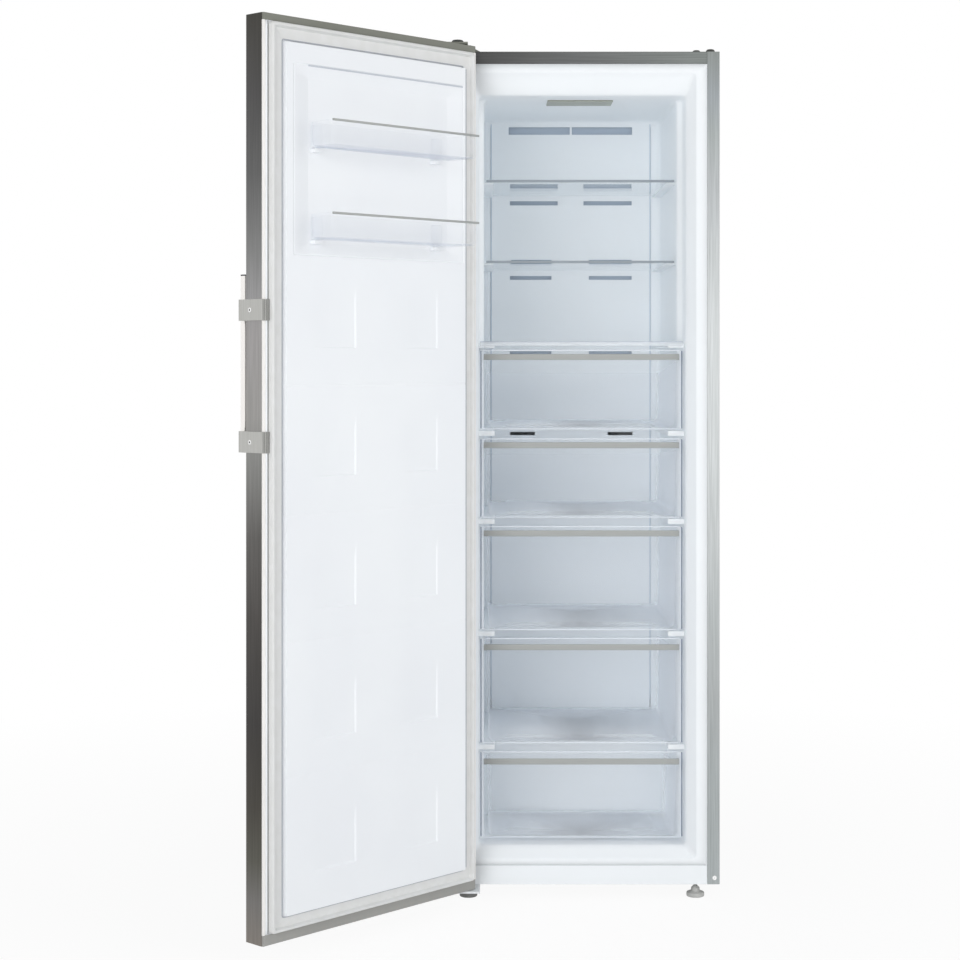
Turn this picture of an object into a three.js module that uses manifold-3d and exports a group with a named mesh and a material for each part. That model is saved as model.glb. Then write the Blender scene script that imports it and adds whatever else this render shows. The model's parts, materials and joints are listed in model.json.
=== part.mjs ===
// Upright freezer, door open, drawers in. Millimetres, +X right, -Y towards the user, +Z up.
// Cabinet sizes are measured from its middle (X), its front plane (Y) and the floor (Z).
// Door pieces are drawn with the door closed, then the whole door turns about its pin.

import * as THREE from 'three';
import { mergeVertices } from 'three/addons/utils/BufferGeometryUtils.js';
import Module from 'manifold-3d';

const wasm = await Module();
wasm.setup();

// ---- driving dimensions ----------------------------------------------------------------------

const fitGap = 0.3;            // left between pieces that touch
const overcut = 2;             // how far a cutting solid runs past the face it cuts
const beyond = 300;            // half width of a cut right across the cabinet
const cabinet = { halfWidth: 297.5, depth: 595, bottom: 31, top: 1835, sheet: 1.5 };
const frontReturn = { width: 27, topBar: 26.6, plinth: 41 };
const flange = { halfWidth: 270.2, bottom: 72, top: 1808.1, thickness: 3 };
const flare = { halfWidth: 245.4, bottom: 88, top: 1788, depth: 25 };
const room = {
  frontHalfWidth: 225, frontDepth: 85, halfWidth: 213, back: 486,
  floor: 112, ceiling: 1742, wall: 3,
  stepHeight: 322, stepDepth: 300,
};
const ductRecess = { left: -196, right: 188, back: 540 };
const machineRoom = { front: 305, top: 290 };

const shelf = {
  front: 100, back: 480, frontHalfWidth: 208, backHalfWidth: 194, glass: 4, trim: 4, lip: 0.6,
};
const shelfTops = [1565, 1386];
const shelfLedge = { inner: 192, front: 110, back: 478, height: 3 };
const cover = {
  top: 1207.3, front: 45, frontHalfWidth: 222, halfWidth: 209, glass: 4,
  trim: 4, trimHeight: 9.5, lip: 0.4,
};
const controls = { halfWidth: 72.5, front: 94, back: 174, height: 3 };

const drawerFront = { y: 45, thickness: 4, halfWidth: 221, barHeight: 13, barHalfWidth: 214 };
const tub = { halfWidth: 209, wall: 3, cornerRadius: 30, frontDrop: 26, backDrop: 54 };
const drawers = [
  { top: 1190, bottom: 1014, barTop: 1180, back: 470 },
  { top: 996, bottom: 821, barTop: 987, back: 470 },
  { top: 804, bottom: 575, barTop: 794, back: 470 },
  { top: 559, bottom: 327, barTop: 545, back: 470 },
  { top: 311, bottom: 121, barTop: 295, back: 292 },
];
const runner = { inner: 190, height: 12, front: 50, back: 470, play: 2 };
const coverLedge = { inner: 190, height: 10, front: 50, back: 470 };

const door = {
  bottom: 32, top: 1840, back: -14.3, thickness: 50.9, sheet: 1.2, openDegrees: 133.7,
  topCap: 14, bottomCap: 21,
};
const pin = { x: -269.9, y: -41.9, radius: 5 };
const gasket = { inner: 248.5, outer: 283, bottom: 54.5, top: 1824, face: -1.5, lip: 5.5 };
const dyke = { halfWidth: 248, bottom: 87.5, top: 1789.5, ridge: -3 };
const dykeRidge = { halfWidth: 246, bottom: 89.5, top: 1787.5 };
const binRecess = { halfWidth: 217, bottom: 1372, top: 1743, floor: -20 };
const binRecessFloor = { halfWidth: 178, bottom: 1398, top: 1715 };
const liner = 2;
const bin = { backHalfWidth: 190, halfWidth: 204, back: 2, front: 82, height: 50, wall: 2.5 };
const binEar = { inner: 158, outer: 177, drop: 5 };
const binBoss = { height: 8, depth: 13 };
const binTops = [1634.6, 1453.8];
const rail = { depth: 4, height: 4.5 };

const bar = { x: 283.3, y: -89.5, width: 13.5, depth: 14.6, bottom: 934, top: 1334.5 };
const handleBracketHeights = [1264, 1007];
const clamp = { half: 20.8, plate: 4, lip: 3.3, play: 0.4 };
const foot = { x: 247, y: 24, radius: 19.3, stem: 4 };
const roller = { x: 250, y: 560, radius: 15, width: 16, axle: 3 };

const doorFront = door.back - door.thickness;

// ---- finishes --------------------------------------------------------------------------------

const finish = (color, roughness, metalness = 0) => ({ color, roughness, metalness });
const brushedSteel = finish(0x9a9c9a, 0.38, 0.85);
const darkTrim = finish(0x6f7272, 0.5, 0.4);
const endCap = finish(0x85867d, 0.55);
const whitePlastic = finish(0xeef2f5, 0.45);
const whiteSheet = finish(0xf0f2f4, 0.5);
const foam = finish(0xe9dfb8, 0.95);
const rubberSeal = finish(0xd5d6d3, 0.7);
const clearPlastic = finish(0xdfe8f4, 0.1);
const glassSheet = finish(0xdcebee, 0.05);
const silverTrim = finish(0xb0b2ae, 0.35, 0.7);
const galvanised = finish(0xb4b8ba, 0.45, 0.8);
const aluminium = finish(0xc4c8cc, 0.4, 0.9);
const blackEnamel = finish(0x222326, 0.5, 0.3);
const greyPlastic = finish(0x6f6f6e, 0.6);
const darkPlastic = finish(0x3c3d3b, 0.6);
const controlFilm = finish(0xa9ab9f, 0.35);

// ---- solids ----------------------------------------------------------------------------------

const toSolid = (geometry) => {
  const bare = geometry.index ? geometry.clone() : geometry;
  bare.deleteAttribute('normal');
  bare.deleteAttribute('uv');
  const merged = mergeVertices(bare, 1e-4);
  return new wasm.Manifold(new wasm.Mesh({
    numProp: 3,
    vertProperties: merged.getAttribute('position').array,
    triVerts: Uint32Array.from(merged.index.array),
  }));
};

const toGeometry = (solid) => {
  const mesh = solid.getMesh();
  const geometry = new THREE.BufferGeometry();
  geometry.setAttribute('position', new THREE.BufferAttribute(mesh.vertProperties, 3));
  geometry.setIndex(new THREE.BufferAttribute(mesh.triVerts, 1));
  geometry.computeVertexNormals();
  return geometry;
};

const union = (...solids) => solids.reduce((sum, solid) => sum.add(solid));
const cut = (solid, ...tools) => tools.reduce((rest, tool) => rest.subtract(tool), solid);

// A block between two corners.
const block = (x0, x1, y0, y1, z0, z1) => {
  const geometry = new THREE.BoxGeometry(x1 - x0, y1 - y0, z1 - z0);
  geometry.translate((x0 + x1) / 2, (y0 + y1) / 2, (z0 + z1) / 2);
  return toSolid(geometry);
};

// A block whose rectangle across Y changes from `near` at yNear to `far` at yFar.
const taper = (near, yNear, far, yFar) => {
  const geometry = new THREE.BoxGeometry(1, 1, 1);
  const position = geometry.getAttribute('position');
  for (let i = 0; i < position.count; i += 1) {
    const end = position.getY(i) < 0 ? near : far;
    const x = position.getX(i) < 0 ? -end.halfWidth : end.halfWidth;
    const z = position.getZ(i) < 0 ? end.bottom : end.top;
    position.setXYZ(i, x, position.getY(i) < 0 ? yNear : yFar, z);
  }
  return toSolid(geometry);
};

// The rectangle that the straight sides through `near` and `far` reach at y.
const atDepth = (near, yNear, far, yFar, y) => {
  const t = (y - yNear) / (yFar - yNear);
  const mix = (key) => near[key] + t * (far[key] - near[key]);
  return { halfWidth: mix('halfWidth'), bottom: mix('bottom'), top: mix('top') };
};

const grown = (rect, grow) => ({
  halfWidth: rect.halfWidth + grow, bottom: rect.bottom - grow, top: rect.top + grow });

const outline = (points) => new THREE.Shape(points.map(([a, b]) => new THREE.Vector2(a, b)));

const extrude = (shape, depth, curveSegments = 6) =>
  new THREE.ExtrudeGeometry(shape, { depth, bevelEnabled: false, curveSegments });

// Outlines drawn in XY and raised along Z, in YZ and drawn along X, or in XZ and drawn along Y.
const raised = (shape, z0, z1) => toSolid(extrude(shape, z1 - z0).translate(0, 0, z0));

const alongX = (shape, x0, x1) => {
  const turn = new THREE.Matrix4().makeBasis(
    new THREE.Vector3(0, 1, 0), new THREE.Vector3(0, 0, 1), new THREE.Vector3(1, 0, 0));
  return toSolid(extrude(shape, x1 - x0).applyMatrix4(turn).translate(x0, 0, 0));
};

const alongY = (shape, y0, y1) => {
  const turn = new THREE.Matrix4().makeBasis(
    new THREE.Vector3(1, 0, 0), new THREE.Vector3(0, 0, 1), new THREE.Vector3(0, -1, 0));
  return toSolid(extrude(shape, y1 - y0).applyMatrix4(turn).translate(0, y1, 0));
};

const rectangle = (x0, x1, y0, y1) => outline([[x0, y0], [x1, y0], [x1, y1], [x0, y1]]);

const roundedRectangle = (x0, x1, y0, y1, r) => {
  const shape = new THREE.Shape();
  shape.moveTo(x0 + r, y0);
  shape.lineTo(x1 - r, y0);
  shape.absarc(x1 - r, y0 + r, r, -Math.PI / 2, 0);
  shape.lineTo(x1, y1 - r);
  shape.absarc(x1 - r, y1 - r, r, 0, Math.PI / 2);
  shape.lineTo(x0 + r, y1);
  shape.absarc(x0 + r, y1 - r, r, Math.PI / 2, Math.PI);
  shape.lineTo(x0, y0 + r);
  shape.absarc(x0 + r, y0 + r, r, Math.PI, Math.PI * 1.5);
  return shape;
};

// An upright turned piece from [radius, height] pairs that start and end on its axis.
const turned = (profile, x, y, sides = 24) => {
  const points = profile.map(([r, z]) => new THREE.Vector2(r, z));
  const geometry = new THREE.LatheGeometry(points, sides);
  return toSolid(geometry.rotateX(Math.PI / 2).translate(x, y, 0));
};

const cylinderZ = (x, y, radius, z0, z1, sides = 24) =>
  turned([[0, z0], [radius, z0], [radius, z1], [0, z1]], x, y, sides);

const cylinderX = (y, z, radius, x0, x1, sides = 24) => {
  const geometry = new THREE.CylinderGeometry(radius, radius, x1 - x0, sides);
  return toSolid(geometry.rotateZ(Math.PI / 2).translate((x0 + x1) / 2, y, z));
};

const cylinderY = (x, z, radius, y0, y1, sides = 24) => {
  const geometry = new THREE.CylinderGeometry(radius, radius, y1 - y0, sides);
  return toSolid(geometry.translate(x, (y0 + y1) / 2, z));
};

// ---- cabinet shell ---------------------------------------------------------------------------

// Folded steel side with the strip that shows beside the door opening.
const sidePanel = (side) => {
  const outer = cabinet.halfWidth;
  const inner = outer - cabinet.sheet;
  const fold = outer - frontReturn.width;
  const points = [[fold, 0], [outer, 0], [outer, cabinet.depth], [inner, cabinet.depth],
    [inner, cabinet.sheet], [fold, cabinet.sheet]];
  const placed = points.map(([x, y]) => [side * x, y]);
  return raised(outline(side > 0 ? placed : placed.reverse()), cabinet.bottom, cabinet.top);
};

const insideX = cabinet.halfWidth - cabinet.sheet - fitGap;
const topTrim = { bottom: cabinet.top - frontReturn.topBar, depth: 14, reach: 66 };

const topPanel = () => block(-insideX, insideX, topTrim.reach + fitGap, cabinet.depth - 2,
  cabinet.top - cabinet.sheet, cabinet.top);

// The bar over the opening, with a plate behind it that the hinge and the plugs sit on.
const topFrontTrim = () => union(
  block(-flange.halfWidth, flange.halfWidth, 0, topTrim.depth, topTrim.bottom, cabinet.top),
  block(-insideX, insideX, cabinet.sheet + fitGap, topTrim.reach,
    cabinet.top - cabinet.sheet, cabinet.top));

const backPanel = () => block(-insideX, insideX, cabinet.depth - cabinet.sheet, cabinet.depth,
  machineRoom.top - 1, cabinet.top - cabinet.sheet - fitGap);

const plinthTop = cabinet.bottom + frontReturn.plinth - fitGap;
const plinthDepth = 12;

const plinthPanel = () => block(-flange.halfWidth, flange.halfWidth, 0, plinthDepth,
  cabinet.bottom, plinthTop);

const basePlate = { bottom: cabinet.bottom + 0.2, top: cabinet.bottom + 2.2 };

const basePan = () => block(-insideX, insideX, plinthDepth + fitGap, cabinet.depth - 6,
  basePlate.bottom, basePlate.top);

// ---- inner liner, foam and air duct ----------------------------------------------------------

// The space inside the liner, or its outside when grown by the wall thickness.
const roomSpace = (grow, frontOverrun) => {
  const mouth = { halfWidth: room.frontHalfWidth, bottom: room.floor, top: room.ceiling };
  const opened = atDepth(flare, 0, mouth, flare.depth, -frontOverrun);
  const front = room.frontDepth + grow;
  const wide = room.frontHalfWidth + grow;
  const narrow = room.halfWidth + grow;
  const [low, high] = [room.floor - grow, room.ceiling + grow];
  const step = room.stepHeight - grow;
  const recess = block(ductRecess.left - grow, ductRecess.right + grow, room.back - 50,
    ductRecess.back + grow, step, high);
  return union(
    taper(grown(opened, grow), -frontOverrun, grown(mouth, grow), flare.depth),
    block(-wide, wide, flare.depth - 1, front, low, high),
    block(-narrow, narrow, flare.depth, room.stepDepth + grow, low, high),
    block(-narrow, narrow, flare.depth, room.back + grow, step, high),
    recess,
  );
};

// A pair of ledges that a drawer or shelf slides on, wider where the side wall steps out.
const ledges = (inner, front, back, z0, z1) => {
  const wall = room.halfWidth + 1;
  const wideWall = room.frontHalfWidth + 1;
  const pieces = [];
  for (const side of [-1, 1]) {
    const span = (a, b) => (side > 0 ? [a, b] : [-b, -a]);
    pieces.push(block(...span(inner, wall), front, back, z0, z1));
    if (front < room.frontDepth) {
      pieces.push(block(...span(inner, wideWall), front, room.frontDepth + 1, z0, z1));
    }
  }
  return union(...pieces);
};

// The ledge under each drawer but the lowest, which stands on the liner's floor.
const runnerLedges = () => {
  const tops = drawers.slice(0, -1).map((drawer) => drawer.bottom - runner.play);
  return tops.map((top) => ledges(runner.inner, runner.front,
    top > room.stepHeight + runner.height ? runner.back : room.stepDepth + 1,
    top - runner.height, top));
};

// The ledges under a pane of glass.
const paneLedges = (pane, top, { inner, front, back, height }) => {
  const under = top - pane.glass - fitGap;
  return ledges(inner, front, back, under - height, under);
};

const innerLiner = () => {
  const flangePlate = block(-flange.halfWidth, flange.halfWidth, 0, flange.thickness,
    flange.bottom, flange.top);
  const shell = cut(union(flangePlate, roomSpace(room.wall, 0)), roomSpace(0, overcut));
  return union(shell, ...runnerLedges(), paneLedges(cover, cover.top, coverLedge),
    ...shelfTops.map((top) => paneLedges(shelf, top, shelfLedge)));
};

const cabinetFoam = () => {
  const top = cabinet.top - cabinet.sheet - fitGap;
  const body = block(-insideX, insideX, flange.thickness + fitGap, cabinet.depth - 2,
    basePlate.top + fitGap, top);
  return cut(
    body,
    roomSpace(room.wall + fitGap, overcut),
    block(-beyond, beyond, machineRoom.front, cabinet.depth + overcut, 0, machineRoom.top),
    block(-beyond, beyond, 0, topTrim.depth + fitGap, topTrim.bottom - 1, cabinet.top + overcut),
    block(-beyond, beyond, 0, plinthDepth + fitGap, 0, plinthTop + 1),
  );
};

const ductPanel = { thickness: 3, sideGap: 2, returnGap: 5, topGap: 1 };
// The left and right slot of each row, with the row's lower and upper edge.
const ductSlots = [
  [[-153, -6], [-1, 144], 1709, 1727],
  [[-150, -35], [27, 143], 1580, 1590],
  [[-150, -35], [27, 143], 1539, 1549],
  [[-147, -50], [40, 143], 1398, 1408],
  [[-150, -50], [40, 143], 1360, 1369],
  [[-150, -50], [40, 143], 1180, 1188],
  [[-149, -90], [85, 145], 986, 994],
];

// The cold air panel on the rear wall, with its blowing slots. Air returns below its lower edge.
const airDuctPanel = () => {
  const { thickness, sideGap, returnGap, topGap } = ductPanel;
  const front = room.back - thickness;
  const slot = (x0, x1, z0, z1) =>
    block(x0, x1, front - overcut, room.back + overcut, z0, z1);
  const slots = ductSlots.flatMap(([left, right, z0, z1]) =>
    [slot(...left, z0, z1), slot(...right, z0, z1)]);
  return cut(block(ductRecess.left + sideGap, ductRecess.right - sideGap, front, room.back,
    room.stepHeight + returnGap, room.ceiling - topGap), ...slots);
};

// ---- cooling parts behind the panel and in the machine room ----------------------------------

// A comb of plates on a spine, drawn in XY and raised.
const finBlock = ({ left, right, front, back, bottom, top, spine, count, fin }) => {
  const pitch = (right - left - fin) / (count - 1);
  const root = front + spine;
  const points = [[left, front], [right, front]];
  for (let i = count - 1; i >= 0; i -= 1) {
    const edge = left + i * pitch;
    points.push([edge + fin, back], [edge, back]);
    if (i > 0) {
      points.push([edge, root], [edge - pitch + fin, root]);
    }
  }
  return raised(outline(points), bottom, top);
};

const evaporator = () => finBlock({
  left: -165, right: 157, front: 496, back: 530, bottom: 640, top: 900,
  spine: 6, count: 22, fin: 2.5,
});

const fan = {
  x: -4, z: 1080, radius: 52, blades: 5, pitch: 0.4, blade: 2, chord: 30,
  hub: 14, front: 492, back: 506, bore: 3.3,
};
const fanDrive = { radius: 28, front: 508, back: 530, shaft: 3, shaftFront: 494 };
const fanStay = { front: 526, back: 532, half: 8, reachX: 70, reachZ: 60 };

const fanMotor = () => {
  const stay = (halfX, halfZ) => block(fan.x - halfX, fan.x + halfX,
    fanStay.front, fanStay.back, fan.z - halfZ, fan.z + halfZ);
  return union(
    cylinderY(fan.x, fan.z, fanDrive.radius, fanDrive.front, fanDrive.back),
    cylinderY(fan.x, fan.z, fanDrive.shaft, fanDrive.shaftFront, fanDrive.front + 1, 16),
    stay(fanStay.reachX, fanStay.half),
    stay(fanStay.half, fanStay.reachZ),
  );
};

// Hub with pitched blades, bored for the motor's shaft.
const evaporatorFan = () => {
  const parts = [cylinderY(fan.x, fan.z, fan.hub, fan.front, fan.back)];
  const root = fan.hub - 4;
  for (let i = 0; i < fan.blades; i += 1) {
    const blade = new THREE.BoxGeometry(fan.radius - root, fan.blade, fan.chord);
    blade.rotateX(fan.pitch).translate((fan.radius + root) / 2, 0, 0);
    blade.rotateY((i * 2 * Math.PI) / fan.blades);
    blade.translate(fan.x, (fan.front + fan.back) / 2, fan.z);
    parts.push(toSolid(blade));
  }
  return cut(union(...parts), cylinderY(fan.x, fan.z, fan.bore,
    fan.front - overcut, fan.back + overcut, 16));
};

const pot = {
  x: 120, y: 450,
  profile: [[0, 45], [62, 45], [76, 58], [80, 80], [80, 150], [72, 178], [50, 194], [0, 200]],
};
const potPlate = { halfX: 100, halfY: 60, bottom: 43, top: 47 };
const potFeet = { x: 88, y: 48, radius: 11 };

// Compressor pot on its plate with four rubber feet.
const compressor = () => {
  const parts = [turned(pot.profile, pot.x, pot.y, 28),
    block(pot.x - potPlate.halfX, pot.x + potPlate.halfX, pot.y - potPlate.halfY,
      pot.y + potPlate.halfY, potPlate.bottom, potPlate.top)];
  for (const [sideX, sideY] of [[-1, -1], [1, -1], [-1, 1], [1, 1]]) {
    parts.push(cylinderZ(pot.x + sideX * potFeet.x, pot.y + sideY * potFeet.y,
      potFeet.radius, basePlate.top + fitGap, potPlate.bottom + 1, 16));
  }
  return union(...parts);
};

const tray = { halfX: 90, halfY: 70, bottom: 200.3, top: 236, wall: 3 };

// The basin on the warm pot that the defrost water dries from.
const drainTray = () => {
  const basin = (inset, bottom, top) => block(pot.x - tray.halfX + inset,
    pot.x + tray.halfX - inset, pot.y - tray.halfY + inset, pot.y + tray.halfY - inset,
    bottom, top);
  return cut(basin(0, tray.bottom, tray.top),
    basin(tray.wall, tray.bottom + tray.wall, tray.top + overcut));
};

const condenser = () => finBlock({
  left: -250, right: -60, front: 400, back: 560, bottom: basePlate.top + fitGap, top: 180,
  spine: 6, count: 16, fin: 3,
});

const controlBox = () => block(-250, -110, machineRoom.front + fitGap,
  machineRoom.front + 40, 190, 280);

const rearCover = { halfWidth: 288, thickness: 2, bottom: 50, lowestSlot: 100, rows: 6, pitch: 28 };
const rearSlots = { height: 10, spans: [[-150, -20], [20, 150]] };

// Rear cover of the machine room with rows of air slots.
const compressorCover = () => {
  const { halfWidth, thickness, bottom, lowestSlot, rows, pitch } = rearCover;
  const back = cabinet.depth - 1;
  const slots = [];
  for (let row = 0; row < rows; row += 1) {
    const z = lowestSlot + row * pitch;
    slots.push(...rearSlots.spans.map(([x0, x1]) => block(x0, x1,
      back - thickness - overcut, back + overcut, z, z + rearSlots.height)));
  }
  return cut(block(-halfWidth, halfWidth, back - thickness, back, bottom, machineRoom.top - 2),
    ...slots);
};

const gland = { x: -230, z: 90, flange: 14, radius: 8, bore: 4.5, length: 12 };

// The gland that the mains lead leaves through.
const mainsGland = () => {
  const back = cabinet.depth;
  return cut(
    union(cylinderY(gland.x, gland.z, gland.flange, back - 1 + fitGap, back + 3),
      cylinderY(gland.x, gland.z, gland.radius, back + 2, back + gland.length)),
    cylinderY(gland.x, gland.z, gland.bore, back + 4, back + gland.length + overcut));
};

// ---- shelves, cover and drawers --------------------------------------------------------------

// A pane's outline from its right half, which runs from the front to the back.
const mirrored = (half) =>
  outline([...half, ...half.map(([x, y]) => [-x, y]).reverse()]);

const shelfGlass = (top) => raised(mirrored([
  [shelf.frontHalfWidth, shelf.front],
  [shelf.backHalfWidth + 6, shelf.back - 20],
  [shelf.backHalfWidth, shelf.back],
]), top - shelf.glass, top);

const shelfTrim = (top) => block(-shelf.frontHalfWidth, shelf.frontHalfWidth,
  shelf.front - shelf.trim, shelf.front - fitGap, top - shelf.glass - shelf.lip, top + shelf.lip);

const coverGlass = () => raised(mirrored([
  [cover.frontHalfWidth, cover.front + cover.trim],
  [cover.frontHalfWidth, room.frontDepth - 2],
  [cover.halfWidth, room.frontDepth - 2],
  [cover.halfWidth, shelf.back],
]), cover.top - cover.glass, cover.top);

const coverTrim = () => block(-cover.frontHalfWidth, cover.frontHalfWidth,
  cover.front, cover.front + cover.trim - fitGap,
  cover.top - cover.trimHeight, cover.top + cover.lip);

// A drawer's tub: its side walls fall towards the back and its rear corners are round.
const tubSpace = (drawer, inset, floor) => {
  const front = drawerFront.y + drawerFront.thickness - 1;
  const back = drawer.back - inset;
  const side = outline([[front, floor], [back, floor], [back, drawer.top - tub.backDrop],
    [front, drawer.top - tub.frontDrop]]);
  const half = tub.halfWidth - inset;
  const radius = tub.cornerRadius - inset;
  const plan = roundedRectangle(-half, half, front - 60, back, radius);
  return alongX(side, -half - 1, half + 1).intersect(raised(plan, drawer.bottom - 1, drawer.top));
};

const drawerBox = (drawer) => {
  const { y, thickness, halfWidth } = drawerFront;
  const outside = tubSpace(drawer, 0, drawer.bottom + 1);
  const inside = tubSpace(drawer, tub.wall, drawer.bottom + 1 + tub.wall);
  const lifted = inside.add(inside.translate([0, 0, 40]));
  const frontWall = block(-beyond, beyond, 0, y + thickness, 0, cabinet.top);
  const walls = cut(outside, cut(lifted, frontWall));
  return union(walls, block(-halfWidth, halfWidth, y, y + thickness, drawer.bottom, drawer.top));
};

const drawerBar = (drawer) => {
  const { y, barHeight, barHalfWidth } = drawerFront;
  return block(-barHalfWidth, barHalfWidth, y - 3, y - fitGap,
    drawer.barTop - barHeight, drawer.barTop);
};

const ceilingPanel = () => block(-controls.halfWidth, controls.halfWidth,
  controls.front, controls.back, room.ceiling - controls.height, room.ceiling - fitGap);

// ---- hinges, caps, feet and rollers ----------------------------------------------------------

const hinge = { halfWidth: 22, reach: 18, back: 60, plate: 4, gap: 3, pinInDoor: 22 };
// A gusset beside the bracket, sloping down over the cabinet's top, and its two screws' x and top.
const gusset = { shoulder: 8, outer: -221.5, height: 14, near: 3, far: 22 };
const gussetScrews = [[-243.8, 14.8], [-234.7, 10.2]];
const gussetScrew = { y: 12, radius: 3 };
const hingeCap = { radius: 12.5, height: 6, chamfer: 2.5 };
const overDoor = door.top + hinge.gap;

// Stepped plate on the cabinet's top that reaches over the door and carries the pin.
const topHingeBracket = () => {
  const base = cabinet.top + fitGap;
  const front = pin.y - hinge.reach;
  const profile = outline([[front, overDoor], [-2, overDoor], [8, base], [hinge.back, base],
    [hinge.back, base + hinge.plate], [12, base + hinge.plate],
    [2, overDoor + hinge.plate], [front, overDoor + hinge.plate]]);
  const side = pin.x + hinge.halfWidth;
  const slope = outline([[side - gusset.shoulder, base], [gusset.outer, base],
    [side, base + gusset.height], [side - gusset.shoulder, base + gusset.height]]);
  const screws = gussetScrews.map(([x, height]) =>
    cylinderZ(x, gussetScrew.y, gussetScrew.radius, base, base + height, 12));
  return union(alongX(profile, pin.x - hinge.halfWidth, side),
    alongY(slope, gusset.near, gusset.far), ...screws,
    cylinderZ(pin.x, pin.y, pin.radius, door.top - hinge.pinInDoor,
      overDoor + hinge.plate / 2, 20));
};

// The dark cap on the pin's head.
const hingeCover = () => {
  const low = overDoor + hinge.plate;
  const high = low + hingeCap.height;
  return turned([[0, low + fitGap], [hingeCap.radius, low + fitGap],
    [hingeCap.radius, high - 2], [hingeCap.radius - hingeCap.chamfer, high], [0, high]],
    pin.x, pin.y);
};

const lowerHinge = { inner: -222, thickness: 4.2, pinInDoor: 18, footBore: 4.6 };

// Flat plate under the cabinet with the lower pin, bored for the left foot's stem.
const bottomHingeBracket = () => {
  const high = cabinet.bottom - fitGap;
  const low = high - lowerHinge.thickness;
  return cut(
    union(
      block(pin.x - hinge.halfWidth, lowerHinge.inner, pin.y - hinge.reach, hinge.back,
        low, high),
      cylinderZ(pin.x, pin.y, pin.radius, low, door.bottom + lowerHinge.pinInDoor, 20)),
    cylinderZ(-foot.x, foot.y, lowerHinge.footBore, 0, cabinet.bottom + overcut, 20));
};

const plug = { y: 26, chamfer: 3 };

const holePlug = (x, radius, height) => turned([[0, cabinet.top + fitGap],
  [radius, cabinet.top + fitGap], [radius, cabinet.top + height - plug.chamfer],
  [radius - plug.chamfer, cabinet.top + height], [0, cabinet.top + height]], x, plug.y, 20);

// A round pad with a cone over it and the stem that screws into the cabinet.
const levellingFoot = (x) => turned([[0, 0], [foot.radius - 1.5, 0], [foot.radius, 2],
  [foot.radius, 8], [foot.radius - 3, 10], [9.5, 12], [9, 19], [6, 22.5], [foot.stem, 23],
  [foot.stem, cabinet.bottom - fitGap], [0, cabinet.bottom - fitGap]], x, foot.y);

const rearRoller = (x) => {
  const half = roller.width / 2;
  return cut(
    cylinderX(roller.y, roller.radius, roller.radius, x - half, x + half, 32),
    cylinderX(roller.y, roller.radius, roller.axle + fitGap, x - half - overcut,
      x + half + overcut, 16));
};

const fork = { cheek: 2.5, halfCheek: 9, halfCrown: 18, drop: 6, crown: 0.6 };

// Fork over the roller, with its axle.
const rollerFork = (x) => {
  const inner = roller.width / 2 + 1;
  const outer = inner + fork.cheek;
  const [low, high] = [roller.radius - fork.drop, cabinet.bottom - 0.2];
  const cheek = (x0) => block(x0, x0 + fork.cheek, roller.y - fork.halfCheek,
    roller.y + fork.halfCheek, low, high);
  return union(cheek(x - outer), cheek(x + inner),
    block(x - outer, x + outer, roller.y - fork.halfCrown, roller.y + fork.halfCrown,
      high - fork.crown, high),
    cylinderX(roller.y, roller.radius, roller.axle, x - outer, x + outer, 16));
};

// ---- door ------------------------------------------------------------------------------------

const doorHalf = cabinet.halfWidth;
const capTop = door.top - door.topCap;
const capBottom = door.bottom + door.bottomCap;

// Outer steel sheet folded round both long edges.
const doorSkin = () => {
  const inner = doorHalf - door.sheet;
  return raised(outline([
    [-doorHalf, doorFront], [doorHalf, doorFront], [doorHalf, door.back], [inner, door.back],
    [inner, doorFront + door.sheet], [-inner, doorFront + door.sheet], [-inner, door.back],
    [-doorHalf, door.back],
  ]), door.bottom, door.top);
};

const doorInside = doorHalf - door.sheet - fitGap;

// End cap tucked inside the folded skin.
const doorCap = (z0, z1, boreBottom, boreTop) => cut(
  block(-doorInside, doorInside, doorFront + door.sheet + fitGap, door.back, z0, z1),
  cylinderZ(pin.x, pin.y, pin.radius + 0.4, boreBottom, boreTop, 20));

const linerZ = { bottom: capBottom + fitGap, top: capTop - fitGap };

// The raised ring and panel that fill the cabinet's mouth, shrunk by the sheet for its back.
const dykeSpace = (inset) => {
  const base = grown(dyke, -inset);
  const inner = inset > 0 ? door.back - liner - 1 : door.back - liner;
  return union(
    block(-base.halfWidth, base.halfWidth, inner, door.back, base.bottom, base.top),
    taper(base, door.back - 0.1, grown(dykeRidge, -inset), dyke.ridge - inset));
};

// The pocket for the bins, grown by the sheet for its back.
const pocket = (grow, overrun) => {
  const mouth = atDepth(binRecessFloor, binRecess.floor, binRecess, dyke.ridge,
    dyke.ridge + overrun);
  return taper(grown(binRecessFloor, grow), binRecess.floor - grow,
    grown(mouth, grow), dyke.ridge + overrun);
};

// Bosses on the pocket's floor that carry the ears of the bins.
const binBosses = () => binTops.flatMap((top) => [-1, 1].map((side) => {
  const [x0, x1] = [side * (binEar.inner - 2), side * (binEar.outer + 1)].sort((a, b) => a - b);
  const seat = top - bin.height - fitGap;
  return block(x0, x1, binRecess.floor - liner / 2, binRecess.floor + binBoss.depth,
    seat - binBoss.height, seat);
}));

const doorLiner = () => {
  const border = block(-doorInside, doorInside, door.back - liner, door.back,
    linerZ.bottom, linerZ.top);
  const shell = cut(union(border, dykeSpace(0)), dykeSpace(liner));
  const overRidge = block(-beyond, beyond, dyke.ridge, dyke.ridge + beyond, 0, door.top);
  const pocketShell = cut(pocket(liner, 0), overRidge);
  return union(cut(union(shell, pocketShell), pocket(0, 1)), ...binBosses());
};

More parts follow.
